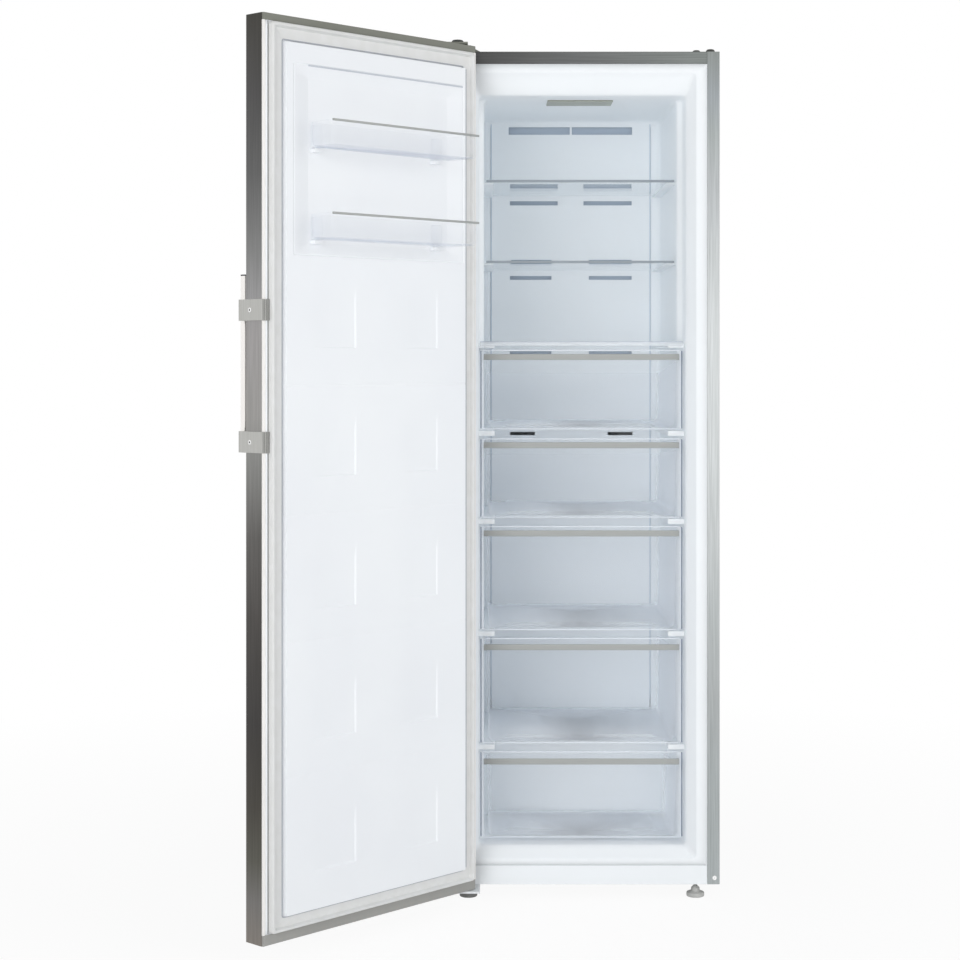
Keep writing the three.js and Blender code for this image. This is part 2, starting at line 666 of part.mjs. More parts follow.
const doorFoam = () => {
  const back = door.back - liner - fitGap;
  const slab = block(-doorInside, doorInside, doorFront + door.sheet + fitGap, back,
    linerZ.bottom, linerZ.top);
  const borings = [[door.bottom, door.bottom + 30], [overDoor - 30, overDoor]];
  return cut(union(slab, dykeSpace(liner + fitGap)), pocket(liner + fitGap, 3),
    ...borings.map(([z0, z1]) => cylinderZ(pin.x, pin.y, pin.radius + 2, z0, z1)));
};

const doorGasket = () => {
  const ring = (halfWidth, low, high) => rectangle(-halfWidth, halfWidth, low, high);
  const base = door.back + fitGap;
  const middle = door.back + 7;
  const opening = block(-gasket.inner, gasket.inner, -20, 20, dyke.bottom - 1, dyke.top + 1);
  return cut(union(
    alongY(ring(gasket.outer, gasket.bottom, gasket.top), base, middle),
    alongY(ring(gasket.outer - gasket.lip, gasket.bottom + gasket.lip,
      gasket.top - gasket.lip), middle - 1, gasket.face)), opening);
};

// Tray that narrows towards the door, with two ears that reach back to the pocket's floor.
const doorBin = (top) => {
  const { backHalfWidth, halfWidth, back, front, height, wall } = bin;
  const low = top - height;
  const tray = (inset, z0, z1) => raised(outline([
    [inset - backHalfWidth, back + inset], [backHalfWidth - inset, back + inset],
    [halfWidth - inset, front - inset], [inset - halfWidth, front - inset],
  ]), z0, z1);
  const ear = (x0, x1) => block(x0, x1, binRecess.floor + fitGap, back + wall / 2, low,
    top - binEar.drop);
  return cut(union(tray(0, low, top - 0.5), ear(binEar.inner, binEar.outer),
    ear(-binEar.outer, -binEar.inner)), tray(wall, low + wall, top + 9));
};

const binRail = (top) => block(-bin.halfWidth, bin.halfWidth, bin.front + fitGap,
  bin.front + rail.depth, top - rail.height, top);

const handleBar = () => {
  const shape = roundedRectangle(bar.x - bar.width / 2, bar.x + bar.width / 2,
    bar.y - bar.depth / 2, bar.y + bar.depth / 2, 3);
  return raised(shape, bar.bottom, bar.top);
};

// Clamp that wraps the door's free edge and carries the bar.
const handleBracket = (z) => {
  const { half, plate, lip, play } = clamp;
  const arm = bar.y + bar.depth / 2 + fitGap;
  const tip = gasket.outer + 1.2;
  const near = doorHalf + 0.5;
  const far = near + plate;
  return raised(outline([
    [tip, door.back + play], [near, door.back + play], [near, arm + lip + 0.2],
    [bar.x - bar.width / 2, arm + lip + 0.2], [bar.x - bar.width / 2, arm], [far, arm],
    [far, door.back + play + lip], [tip, door.back + play + lip],
  ]), z - half, z + half);
};

// ---- assembly --------------------------------------------------------------------------------

const piece = (name, solid, look) => {
  const mesh = new THREE.Mesh(toGeometry(solid), new THREE.MeshStandardMaterial(look));
  mesh.name = name;
  return mesh;
};

const numbered = (name, items, make, look) =>
  items.map((item, i) => piece(`${name}_${i + 1}`, make(item), look));

const cabinetPieces = () => [
  piece('side_panel_left', sidePanel(-1), brushedSteel),
  piece('side_panel_right', sidePanel(1), brushedSteel),
  piece('top_panel', topPanel(), whiteSheet),
  piece('top_front_trim', topFrontTrim(), darkTrim),
  piece('back_panel', backPanel(), whiteSheet),
  piece('plinth_panel', plinthPanel(), whitePlastic),
  piece('base_pan', basePan(), galvanised),
  piece('inner_liner', innerLiner(), whitePlastic),
  piece('cabinet_foam', cabinetFoam(), foam),
  piece('air_duct_panel', airDuctPanel(), whitePlastic),
  piece('ceiling_panel', ceilingPanel(), controlFilm),
];

const coolingPieces = () => [
  piece('evaporator', evaporator(), aluminium),
  piece('fan_motor', fanMotor(), blackEnamel),
  piece('evaporator_fan', evaporatorFan(), whitePlastic),
  piece('compressor', compressor(), blackEnamel),
  piece('drain_tray', drainTray(), darkPlastic),
  piece('condenser', condenser(), blackEnamel),
  piece('control_box', controlBox(), whitePlastic),
  piece('compressor_cover', compressorCover(), galvanised),
  piece('mains_gland', mainsGland(), darkPlastic),
];

const storagePieces = () => [
  ...numbered('shelf_glass', shelfTops, shelfGlass, glassSheet),
  ...numbered('shelf_trim', shelfTops, shelfTrim, silverTrim),
  piece('cover_glass', coverGlass(), glassSheet),
  piece('cover_trim', coverTrim(), clearPlastic),
  ...numbered('drawer', drawers, drawerBox, clearPlastic),
  ...numbered('drawer_bar', drawers, drawerBar, silverTrim),
];

const supportPieces = () => [
  piece('hinge_bracket_top', topHingeBracket(), galvanised),
  piece('hinge_cover', hingeCover(), darkPlastic),
  piece('hinge_bracket_bottom', bottomHingeBracket(), galvanised),
  piece('hole_plug_inner', holePlug(249.5, 9, 6.4), darkPlastic),
  piece('hole_plug_outer', holePlug(280, 9.8, 8.4), darkPlastic),
  piece('foot_left', levellingFoot(-foot.x), greyPlastic),
  piece('foot_right', levellingFoot(foot.x), greyPlastic),
  piece('roller_left', rearRoller(-roller.x), darkPlastic),
  piece('roller_right', rearRoller(roller.x), darkPlastic),
  piece('roller_fork_left', rollerFork(-roller.x), galvanised),
  piece('roller_fork_right', rollerFork(roller.x), galvanised),
];

const doorPieces = () => [
  piece('door_skin', doorSkin(), brushedSteel),
  piece('door_cap_top', doorCap(capTop, door.top, overDoor - 26, 2000), endCap),
  piece('door_cap_bottom', doorCap(door.bottom, capBottom, 0, door.bottom + 19), endCap),
  piece('door_liner', doorLiner(), whitePlastic),
  piece('door_foam', doorFoam(), foam),
  piece('door_gasket', doorGasket(), rubberSeal),
  ...numbered('door_bin', binTops, doorBin, clearPlastic),
  ...numbered('bin_rail', binTops, binRail, silverTrim),
  piece('handle_bar', handleBar(), brushedSteel),
  piece('handle_bracket_upper', handleBracket(handleBracketHeights[0]), aluminium),
  piece('handle_bracket_lower', handleBracket(handleBracketHeights[1]), aluminium),
];

// The closed door hangs in a group on its pin and swings open clockwise, seen from above.
const openDoor = () => {
  const hung = new THREE.Group();
  hung.position.set(-pin.x, -pin.y, 0);
  hung.add(...doorPieces());
  const swung = new THREE.Group();
  swung.position.set(pin.x, pin.y, 0);
  swung.rotation.z = -THREE.MathUtils.degToRad(door.openDegrees);
  swung.add(hung);
  return swung;
};

const freezer = new THREE.Group();
freezer.add(...cabinetPieces(), ...coolingPieces(), ...storagePieces(), ...supportPieces());
freezer.add(openDoor());

// The origin is on the floor under the middle of the open freezer's footprint.
const reach = new THREE.Box3().setFromObject(freezer, true);
const middle = reach.getCenter(new THREE.Vector3());
freezer.position.set(-middle.x, -middle.y, -reach.min.z);

const stage = new THREE.Group();
stage.add(freezer);

export default stage;
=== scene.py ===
"""An upright freezer with its door open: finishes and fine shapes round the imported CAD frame.

Sizes are millimetres, measured as the CAD measures them: X from the cabinet's middle, Y from its
front plane and Z from the floor. Door sizes are those of the closed door, and the datum turns
them with the door. Only the datum knows the row frame, which is in metres.
"""

import json
import logging
import math
from collections.abc import Sequence
from dataclasses import dataclass, field, replace
from enum import Enum
from typing import Any

import bmesh
import bpy
import numpy as np
from numpy.typing import NDArray
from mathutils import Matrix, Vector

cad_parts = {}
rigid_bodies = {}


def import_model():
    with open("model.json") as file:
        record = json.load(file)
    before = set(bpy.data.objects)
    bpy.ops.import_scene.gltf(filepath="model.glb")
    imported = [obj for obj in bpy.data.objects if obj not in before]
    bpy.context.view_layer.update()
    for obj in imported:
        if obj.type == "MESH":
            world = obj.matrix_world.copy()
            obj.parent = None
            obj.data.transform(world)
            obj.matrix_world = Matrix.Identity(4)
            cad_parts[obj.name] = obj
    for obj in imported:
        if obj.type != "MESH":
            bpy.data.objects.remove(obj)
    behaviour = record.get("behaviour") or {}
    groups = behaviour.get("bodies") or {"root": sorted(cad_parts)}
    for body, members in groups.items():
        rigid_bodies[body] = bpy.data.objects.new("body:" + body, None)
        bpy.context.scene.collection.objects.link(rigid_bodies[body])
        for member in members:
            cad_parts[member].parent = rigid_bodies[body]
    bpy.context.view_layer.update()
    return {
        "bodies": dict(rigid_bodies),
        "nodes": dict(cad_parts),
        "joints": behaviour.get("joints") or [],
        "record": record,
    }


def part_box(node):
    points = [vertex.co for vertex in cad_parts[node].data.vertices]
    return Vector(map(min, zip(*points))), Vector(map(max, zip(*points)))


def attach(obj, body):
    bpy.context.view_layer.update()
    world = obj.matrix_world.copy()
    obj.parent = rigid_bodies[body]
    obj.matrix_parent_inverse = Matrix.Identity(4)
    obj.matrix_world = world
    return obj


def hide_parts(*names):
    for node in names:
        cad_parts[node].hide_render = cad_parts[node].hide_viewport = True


Array = NDArray[np.float64]
MM = 0.001
EDGE_STEPS = 3  # in the rounding of a block's end edges
SIDES = (-1, 1)  # left and right, for mirrored shapes
log = logging.getLogger("freezer")


def linear(code: str) -> tuple[float, float, float, float]:
    """Turns an sRGB hex colour into linear light.

    Args:
        code: The colour as six hex digits, with or without a leading #.

    Returns:
        Red, green, blue and an alpha of 1.
    """
    digits = code.lstrip("#")
    srgb = np.array([int(digits[i : i + 2], 16) for i in (0, 2, 4)], float) / 255
    light = np.where(srgb <= 0.04045, srgb / 12.92, ((srgb + 0.055) / 1.055) ** 2.4)
    return (float(light[0]), float(light[1]), float(light[2]), 1.0)


# ---- surfaces --------------------------------------------------------------------------------


class Axis(Enum):
    """The direction that a stack of rings runs along; its value is the order of the columns."""

    X = (2, 0, 1)
    Y = (0, 2, 1)
    Z = (0, 1, 2)


class Ends(Enum):
    """What happens to the first and last ring of a stack."""

    CAPPED = "capped"
    OPEN = "open"
    JOINED = "joined"


@dataclass
class Surface:
    """Points in millimetres and the faces between them."""

    points: Array
    faces: list[list[int]]

    @classmethod
    def empty(cls) -> "Surface":
        """A surface with nothing in it yet, for others to be added to."""
        return cls(np.zeros((0, 3)), [])

    def __add__(self, other: "Surface") -> "Surface":
        """Puts two surfaces in one mesh.

        Args:
            other: The surface whose points and faces come after this one's.

        Returns:
            Both in one surface.
        """
        shift = len(self.points)
        moved = [[i + shift for i in face] for face in other.faces]
        return Surface(np.concatenate([self.points, other.points]), self.faces + moved)

    def moved(self, offset: Sequence[float]) -> "Surface":
        """The same surface, shifted."""
        return Surface(self.points + np.asarray(offset, float), self.faces)


def woven(grid: Array, around: bool = False, along: bool = False) -> Surface:
    """Joins a grid of points with quads, each between two rows and two columns.

    Args:
        grid: Points by row and column.
        around: Joins the last column to the first.
        along: Joins the last row to the first.

    Returns:
        The woven surface.
    """
    rows, columns = grid.shape[:2]
    index = np.arange(rows * columns).reshape(rows, columns)
    if around:
        index = np.concatenate([index, index[:, :1]], axis=1)
    if along:
        index = np.concatenate([index, index[:1]], axis=0)
    quads = np.stack([index[:-1, :-1], index[:-1, 1:], index[1:, 1:], index[1:, :-1]], axis=-1)
    return Surface(grid.reshape(-1, 3), quads.reshape(-1, 4).tolist())


@dataclass(frozen=True)
class Ring:
    """A rectangle with round corners, across an axis at one depth."""

    left: float
    right: float
    low: float
    high: float
    radius: float
    depth: float

    def grown(self, by: float, depth: float | None = None) -> "Ring":
        """The ring pushed outwards by a distance, and to another depth if one is given."""
        return Ring(self.left - by, self.right + by, self.low - by, self.high + by,
                    max(self.radius + by, 0.3), self.depth if depth is None else depth)


def between(a: Ring, b: Ring, share: float, depth: float) -> Ring:
    """The ring that lies a share of the way from one ring to another: a + share * (b - a).

    Args:
        a: The ring at a share of 0.
        b: The ring at a share of 1.
        share: How far along it lies.
        depth: Its depth.

    Returns:
        The ring between them.
    """
    first = np.array([a.left, a.right, a.low, a.high, a.radius])
    last = np.array([b.left, b.right, b.low, b.high, b.radius])
    return Ring(*(first + share * (last - first)).tolist(), depth)


def loft(rings: Sequence[Ring], axis: Axis, ends: Ends = Ends.CAPPED, steps: int = 5) -> Surface:
    """Skins a stack of rings.

    Each corner is its centre plus the radius times the cosine and sine of a quarter turn, and the
    four corners follow each other round the ring.

    Args:
        rings: The rings in order.
        axis: The axis that their depths run along.
        ends: Whether the stack is closed with flat faces, left open or joined into a loop.
        steps: Steps in each corner.

    Returns:
        The skin.
    """
    size = np.array([[r.left, r.right, r.low, r.high, r.radius, r.depth] for r in rings])[:, :, None]
    left, right, low, high, radius, depth = (size[:, i] for i in range(6))
    radius = np.minimum(radius, np.minimum(right - left, high - low) * 0.499)
    turn = np.linspace(0, np.pi / 2, steps + 1)
    angle = (turn[None, :] + np.array([-0.5, 0, 0.5, 1])[:, None] * np.pi).ravel()
    side = np.repeat([1, 1, -1, -1], steps + 1)
    rise = np.repeat([-1, 1, 1, -1], steps + 1)
    across = np.where(side > 0, right - radius, left + radius) + radius * np.cos(angle)
    up = np.where(rise > 0, high - radius, low + radius) + radius * np.sin(angle)
    ordered = [across, up, np.broadcast_to(depth, across.shape)]
    grid = np.stack([ordered[i] for i in axis.value], axis=-1)
    skin = woven(grid, around=True, along=ends is Ends.JOINED)
    if ends is Ends.CAPPED:
        count = grid.shape[1]
        last = (len(rings) - 1) * count
        skin.faces += [list(range(count))[::-1], list(range(last, last + count))]
    return skin


def flank(side: int, inner: float, outer: float) -> tuple[float, float]:
    """The span between two distances from the middle, on the left or the right.

    Args:
        side: -1 for the left, 1 for the right.
        inner: One distance.
        outer: The other.

    Returns:
        The lower and the higher end of the span.
    """
    low, high = sorted((side * inner, side * outer))
    return low, high


def soft_block(x: tuple[float, float], y: tuple[float, float], z: tuple[float, float],
               axis: Axis = Axis.Z, corner: float = 2.0, edge: float = 1.0,
               steps: int = 4) -> Surface:
    """A block with round corners about one axis and rounded end edges.

    Towards each end the ring shrinks by edge times one minus the sine of a quarter turn, while it
    moves on by edge times one minus the cosine.

    Args:
        x: Left and right.
        y: Front and back.
        z: Bottom and top.
        axis: The axis that the corners turn about.
        corner: Radius of the corners.
        edge: Radius of the end edges.
        steps: Steps in each corner.

    Returns:
        The closed block.
    """
    spans = {Axis.X: (y, z, x), Axis.Y: (x, z, y), Axis.Z: (x, y, z)}[axis]
    (left, right), (low, high), (near, far) = spans
    turn = np.linspace(0, np.pi / 2, EDGE_STEPS + 1)
    inset, rise = edge * (1 - np.sin(turn)), edge * (1 - np.cos(turn))
    insets = np.concatenate([inset, inset[::-1]])
    depths = np.concatenate([near + rise, (far - rise)[::-1]])
    rings = [Ring(left + i, right - i, low + i, high - i, max(corner - i, 0.05), d)
             for i, d in zip(insets.tolist(), depths.tolist(), strict=True)]
    return loft(rings, axis, Ends.CAPPED, steps)


def turned(profile: Sequence[tuple[float, float]], centre: tuple[float, float, float],
           axis: Axis = Axis.Z, sides: int = 48) -> Surface:
    """A turned piece: every profile point goes round the axis at its radius.

    Args:
        profile: Radius and height of each point, from one end to the other.
        centre: The point that heights are measured from.
        axis: The axis of the turning.
        sides: Steps in a full turn.

    Returns:
        The closed piece, with flat ends.
    """
    radius, height = (np.array(column)[:, None] for column in zip(*profile, strict=True))
    angle = np.linspace(0, 2 * np.pi, sides, endpoint=False)
    ordered = [radius * np.cos(angle), radius * np.sin(angle),
               np.broadcast_to(height, (len(profile), sides))]
    grid = np.stack([ordered[i] for i in axis.value], axis=-1)
    skin = woven(grid, around=True)
    last = (len(profile) - 1) * sides
    skin.faces += [list(range(sides))[::-1], list(range(last, last + sides))]
    return skin.moved(centre)


def filleted(corners: Sequence[tuple[float, float]], radius: float, steps: int = 5) -> Array:
    """A bent line with its inner corners rounded.

    Each corner becomes the parabola that leaves one side and meets the other a radius away.

    Args:
        corners: The points of the bent line.
        radius: How far from the corner the curve starts.
        steps: Steps along each curve.

    Returns:
        The points of the rounded line.
    """
    line = np.array(corners, float)
    before, here, after = line[:-2], line[1:-1], line[2:]
    start = here + radius * (before - here) / np.linalg.norm(before - here, axis=1)[:, None]
    end = here + radius * (after - here) / np.linalg.norm(after - here, axis=1)[:, None]
    t = np.linspace(0, 1, steps + 1)[None, :, None]
    curve = ((1 - t) ** 2 * start[:, None] + 2 * t * (1 - t) * here[:, None]
             + t ** 2 * end[:, None])
    return np.concatenate([line[:1], curve.reshape(-1, 2), line[-1:]])


def folded_sheet(line: Array, thickness: float, bottom: float, top: float) -> Surface:
    """A sheet folded along a line drawn in XY and raised along Z.

    The inner face is the line moved to its left by the thickness, along the mean of the two
    normals at each point, lengthened so that both sides keep the thickness.

    Args:
        line: The outer face's points.
        thickness: Thickness of the sheet.
        bottom: Height of its lower edge.
        top: Height of its upper edge.

    Returns:
        The closed sheet.
    """
    step = np.diff(line, axis=0)
    step /= np.linalg.norm(step, axis=1)[:, None]
    normal = np.stack([-step[:, 1], step[:, 0]], axis=1)
    mean = np.concatenate([normal[:1], normal[:-1] + normal[1:], normal[-1:]])
    mean /= np.linalg.norm(mean, axis=1)[:, None]
    square = np.concatenate([normal[:1], normal])
    inner = line + thickness * mean / (mean * square).sum(1)[:, None]
    outline = np.concatenate([line, inner[::-1]])
    heights = np.broadcast_to(np.array([bottom, top])[:, None, None], (2, len(outline), 1))
    grid = np.concatenate([np.broadcast_to(outline, (2, *outline.shape)), heights], axis=2)
    skin = woven(grid, around=True)
    i, count = np.arange(len(line) - 1), len(outline)
    cap = np.stack([i, i + 1, count - 2 - i, count - 1 - i], axis=1)
    skin.faces += cap[:, ::-1].tolist() + (cap + count).tolist()
    return skin


def graded(low: float, high: float, coarse: float, marks: Sequence[float], reach: float,
           fine: int = 5) -> Array:
    """Grid lines that are coarse, and close together round some marks.

    Args:
        low: First line.
        high: Last line.
        coarse: Usual distance.
        marks: Places that need detail.
        reach: How far the detail reaches on each side of a mark.
        fine: Lines on each side of a mark.

    Returns:
        The sorted positions.
    """
    plain = np.linspace(low, high, int((high - low) / coarse) + 1)
    near = np.asarray(marks, float)[:, None] + np.linspace(-reach, reach, 2 * fine + 1)[None, :]
    every = np.concatenate([plain, near.ravel()])
    return np.unique(np.round(every[(every >= low) & (every <= high)], 2))


def eased(share: Array) -> Array:
    """A share from 0 to 1 that starts and stops gently: 3t^2 - 2t^3."""
    t = np.clip(share, 0, 1)
    return t * t * (3 - 2 * t)


# ---- finishes --------------------------------------------------------------------------------


def add_node(tree: bpy.types.NodeTree, kind: str, settings: dict[str, Any] | None = None,
             sockets: dict[str | int, Any] | None = None) -> bpy.types.Node:
    """Adds a node with its settings and its links.

    Args:
        tree: The node tree that gets it.
        kind: Blender's name of the node type.
        settings: Properties of the node.
        sockets: For each input, a value or the output that feeds it.

    Returns:
        The node.
    """
    node = tree.nodes.new(kind)
    for key, value in (settings or {}).items():
        setattr(node, key, value)
    for key, value in (sockets or {}).items():
        if isinstance(value, bpy.types.NodeSocket):
            tree.links.new(value, node.inputs[key])
        else:
            node.inputs[key].default_value = value
    return node


# Noise mostly lies between these values, so a Map Range node stretches them to its full range.
USUAL = {"From Min": 0.3, "From Max": 0.7}
# The settings of a Mix node that mixes colours: share in 0, colours in 6 and 7, result from 2.
COLOURS = {"data_type": "RGBA"}


class Shader:
    """A material under construction, with its object coordinates and its surface shader."""

    def __init__(self, name: str) -> None:
        """Starts an empty node tree with a principled shader.

        Args:
            name: The material's name.
        """
        self.material = bpy.data.materials.new(name)
        self.material.use_nodes = True
        self.tree = self.material.node_tree
        self.tree.nodes.clear()
        self.place = self.add("ShaderNodeTexCoord").outputs["Object"]
        self.surface = self.add("ShaderNodeBsdfPrincipled")
        self.output = self.add("ShaderNodeOutputMaterial",
                               sockets={"Surface": self.surface.outputs[0]})

    def add(self, kind: str, settings: dict[str, Any] | None = None,
            sockets: dict[str | int, Any] | None = None) -> bpy.types.Node:
        """Adds a node to this material; see add_node for the arguments."""
        return add_node(self.tree, kind, settings, sockets)

    def set(self, **values: Any) -> None:
        """Sets inputs of the surface shader.

        Args:
            values: For each input, a value or the output that feeds it. An underscore in a name
                stands for a space, and Specular is short for Specular IOR Level.
        """
        for key, value in values.items():
            name = "Specular IOR Level" if key == "Specular" else key.replace("_", " ")
            if isinstance(value, bpy.types.NodeSocket):
                self.tree.links.new(value, self.surface.inputs[name])
            else:
                self.surface.inputs[name].default_value = value

    def grain(self, size: float, detail: float = 2.0,
              stretch: tuple[float, float, float] = (1, 1, 1)) -> bpy.types.NodeSocket:
        """Noise whose features have a real size: its scale is 1 over the size in metres.

        Args:
            size: Feature size in millimetres.
            detail: Octaves.
            stretch: How much longer the features are along X, Y and Z.

        Returns:
            The noise value's socket.
        """
        scale = tuple(1 / (size * MM * s) for s in stretch)
        mapped = self.add("ShaderNodeMapping", sockets={"Vector": self.place, "Scale": scale})
        return self.add("ShaderNodeTexNoise", sockets={
            "Vector": mapped.outputs[0], "Scale": 1.0, "Detail": detail}).outputs[0]


@dataclass(frozen=True)
class Finish:
    """A finish that a maker would name, with its two close colours and its gloss."""

    name: str
    colour: str
    shade: str
    roughness: float

    def material(self) -> bpy.types.Material:
        """The finish as a Blender material, made once."""
        return bpy.data.materials.get(self.name) or self.build()

    def build(self) -> bpy.types.Material:
        """Makes the material."""
        raise NotImplementedError

    def gloss(self, below: float, above: float) -> dict[str, float]:
        """Map Range settings from a little below the roughness to a little above it."""
        return {"To Min": self.roughness + below, "To Max": self.roughness + above}


@dataclass(frozen=True)
class MouldedPlastic(Finish):
    """Polystyrene or ABS, vacuum-formed or injection-moulded: an even body colour with a soft
    gloss, and the slight orange peel that a mould leaves, which breaks up reflections."""

    peel: float = 5.0
    depth: float = 0.05
    cloud: float = 240.0

    def build(self) -> bpy.types.Material:
        """Body colour with faint clouds; the peel is 5 mm so that it shows at this distance.

        Returns:
            The material.
        """
        shader = Shader(self.name)
        peel = shader.grain(self.peel, 3.0)
        clouds = shader.add("ShaderNodeMapRange", sockets={
            "Value": shader.grain(self.cloud, 2.0), **USUAL})
        tone = shader.add("ShaderNodeMix", COLOURS, {
            0: clouds.outputs[0], 6: linear(self.colour), 7: linear(self.shade)})
        gloss = shader.add("ShaderNodeMapRange", sockets={
            "Value": peel, **USUAL, **self.gloss(-0.05, 0.05)})
        relief = shader.add("ShaderNodeBump", sockets={
            "Height": peel, "Distance": self.depth * MM, "Strength": 1.0})
        shader.set(Base_Color=tone.outputs[2], Specular=0.45, Roughness=gloss.outputs[0],
                   Normal=relief.outputs[0])
        return shader.material


@dataclass(frozen=True)
class BrushedSteel(Finish):
    """Stainless sheet, brushed lengthwise: long hair lines stretch the reflections across them.
    The lines are 1.4 mm wide, coarser than real ones, so that they show."""

    hair: float = 1.4
    stretch: tuple[float, float, float] = (1, 1, 90)
    bands: tuple[tuple[float, str], ...] = ()
    bands_along: str = "Z"

    def build(self) -> bpy.types.Material:
        """Metal with stretched noise in its colour, roughness and relief.

        Returns:
            The material.
        """
        shader = Shader(self.name)
        lines = shader.grain(self.hair, 3.0, self.stretch)
        share = shader.add("ShaderNodeMapRange", sockets={"Value": lines, **USUAL})
        tone = shader.add("ShaderNodeMix", COLOURS, {
            0: share.outputs[0], 6: linear(self.shade), 7: linear(self.colour)}).outputs[2]
        if self.bands:
            tone = self.banded(shader, tone)
        gloss = shader.add("ShaderNodeMapRange", sockets={
            "Value": lines, **USUAL, **self.gloss(0.06, -0.06)})
        relief = shader.add("ShaderNodeBump", sockets={
            "Height": lines, "Distance": 0.02 * MM, "Strength": 1.0})
        shader.set(Base_Color=tone, Metallic=1.0, Anisotropic=0.5, Roughness=gloss.outputs[0],
                   Normal=relief.outputs[0])
        return shader.material

    def banded(self, shader: Shader, tone: bpy.types.NodeSocket) -> bpy.types.NodeSocket:
        """Multiplies a tone by the bands.

        The bands are a painted reflection of a room: broad soft changes of tone from one end of a
        long brushed sheet to the other, as places in millimetres along one axis with the tone at
        each.

        Args:
            shader: The material under construction.
            tone: The colour of the hair lines.

        Returns:
            The banded colour's socket.
        """
        low, high = self.bands[0][0], self.bands[-1][0]
        place = shader.add("ShaderNodeSeparateXYZ", sockets={0: shader.place})
        share = shader.add("ShaderNodeMapRange", sockets={
            "Value": place.outputs[self.bands_along], "From Min": low * MM, "From Max": high * MM})
        ramp = shader.add("ShaderNodeValToRGB", sockets={0: share.outputs[0]})
        points = ramp.color_ramp.elements
        points[0].color, points[1].color = linear(self.bands[0][1]), linear(self.bands[-1][1])
        for stop, code in self.bands[1:-1]:
            points.new((stop - low) / (high - low)).color = linear(code)
        return shader.add("ShaderNodeMix", {**COLOURS, "blend_type": "MULTIPLY"}, {
            0: 1.0, 6: ramp.outputs["Color"], 7: tone}).outputs[2]


@dataclass(frozen=True)
class SatinMetal(Finish):
    """Anodised aluminium or foil-faced trim: matt silver with fine drawn lines along its length."""

    stretch: tuple[float, float, float] = (60, 1, 1)
    metallic: float = 0.9

    def build(self) -> bpy.types.Material:
        """Silver with drawn lines 1 mm wide, as coarse as needed to show.

        Returns:
            The material.
        """
        shader = Shader(self.name)
        lines = shader.grain(1.0, 2.0, self.stretch)
        share = shader.add("ShaderNodeMapRange", sockets={"Value": lines, **USUAL})
        tone = shader.add("ShaderNodeMix", COLOURS, {
            0: share.outputs[0], 6: linear(self.shade), 7: linear(self.colour)})
        gloss = shader.add("ShaderNodeMapRange", sockets={
            "Value": lines, **USUAL, **self.gloss(-0.04, 0.06)})
        shader.set(Base_Color=tone.outputs[2], Metallic=self.metallic, Roughness=gloss.outputs[0])
        return shader.material


@dataclass(frozen=True)
class ClearMoulding(Finish):
    """Crystal polystyrene, injection-moulded: nearly clear face on, milky and bluish where the
    wall is seen along its length, because the light runs further inside it."""

    face: float = 0.05
    rim: float = 0.8
    power: float = 3.0

    def build(self) -> bpy.types.Material:
        """See-through by how squarely the wall is looked at, with faint flow marks of 90 mm.

        The cover goes from face to rim with the grazing share, which is the facing value to a
        power. A closed wall has a front and a back face, and only the front one counts: the cover
        is multiplied by one minus Backfacing.

        Returns:
            The material.
        """
        shader = Shader(self.name)
        facing = shader.add("ShaderNodeLayerWeight", sockets={"Blend": 0.5}).outputs["Facing"]
        grazing = shader.add("ShaderNodeMath", {"operation": "POWER"}, {
            0: facing, 1: self.power}).outputs[0]
        cover = shader.add("ShaderNodeMapRange", sockets={
            "Value": grazing, "To Min": self.face, "To Max": self.rim})
        behind = shader.add("ShaderNodeNewGeometry").outputs["Backfacing"]
        outside = shader.add("ShaderNodeMapRange", sockets={
            "Value": behind, "To Min": 1.0, "To Max": 0.0})
        alpha = shader.add("ShaderNodeMath", {"operation": "MULTIPLY"}, {
            0: cover.outputs[0], 1: outside.outputs[0]})
        tone = shader.add("ShaderNodeMix", COLOURS, {
            0: grazing, 6: linear(self.colour), 7: linear(self.shade)})
        gloss = shader.add("ShaderNodeMapRange", sockets={
            "Value": shader.grain(90.0, 1.0, (1, 1, 0.5)), **USUAL, **self.gloss(-0.02, 0.02)})
        shader.set(Base_Color=tone.outputs[2], Alpha=alpha.outputs[0], Specular=0.5, IOR=1.58,
                   Roughness=gloss.outputs[0])
        return shader.material


@dataclass(frozen=True)
class SpangledZinc(Finish):
    """Hot-dip galvanised sheet: grey with crystals of about 9 mm that differ in brightness."""

    crystal: float = 9.0

    def build(self) -> bpy.types.Material:
        """Metal whose crystals are cells of a Voronoi pattern.

        Returns:
            The material.
        """
        shader = Shader(self.name)
        cells = shader.add("ShaderNodeTexVoronoi", sockets={
            "Vector": shader.place, "Scale": 1 / (self.crystal * MM)}).outputs["Color"]
        share = shader.add("ShaderNodeSeparateColor", sockets={0: cells}).outputs[0]
        tone = shader.add("ShaderNodeMix", COLOURS, {
            0: share, 6: linear(self.colour), 7: linear(self.shade)})
        gloss = shader.add("ShaderNodeMapRange", sockets={
            "Value": share, **self.gloss(-0.08, 0.1)})
        shader.set(Base_Color=tone.outputs[2], Metallic=0.85, Roughness=gloss.outputs[0])
        return shader.material


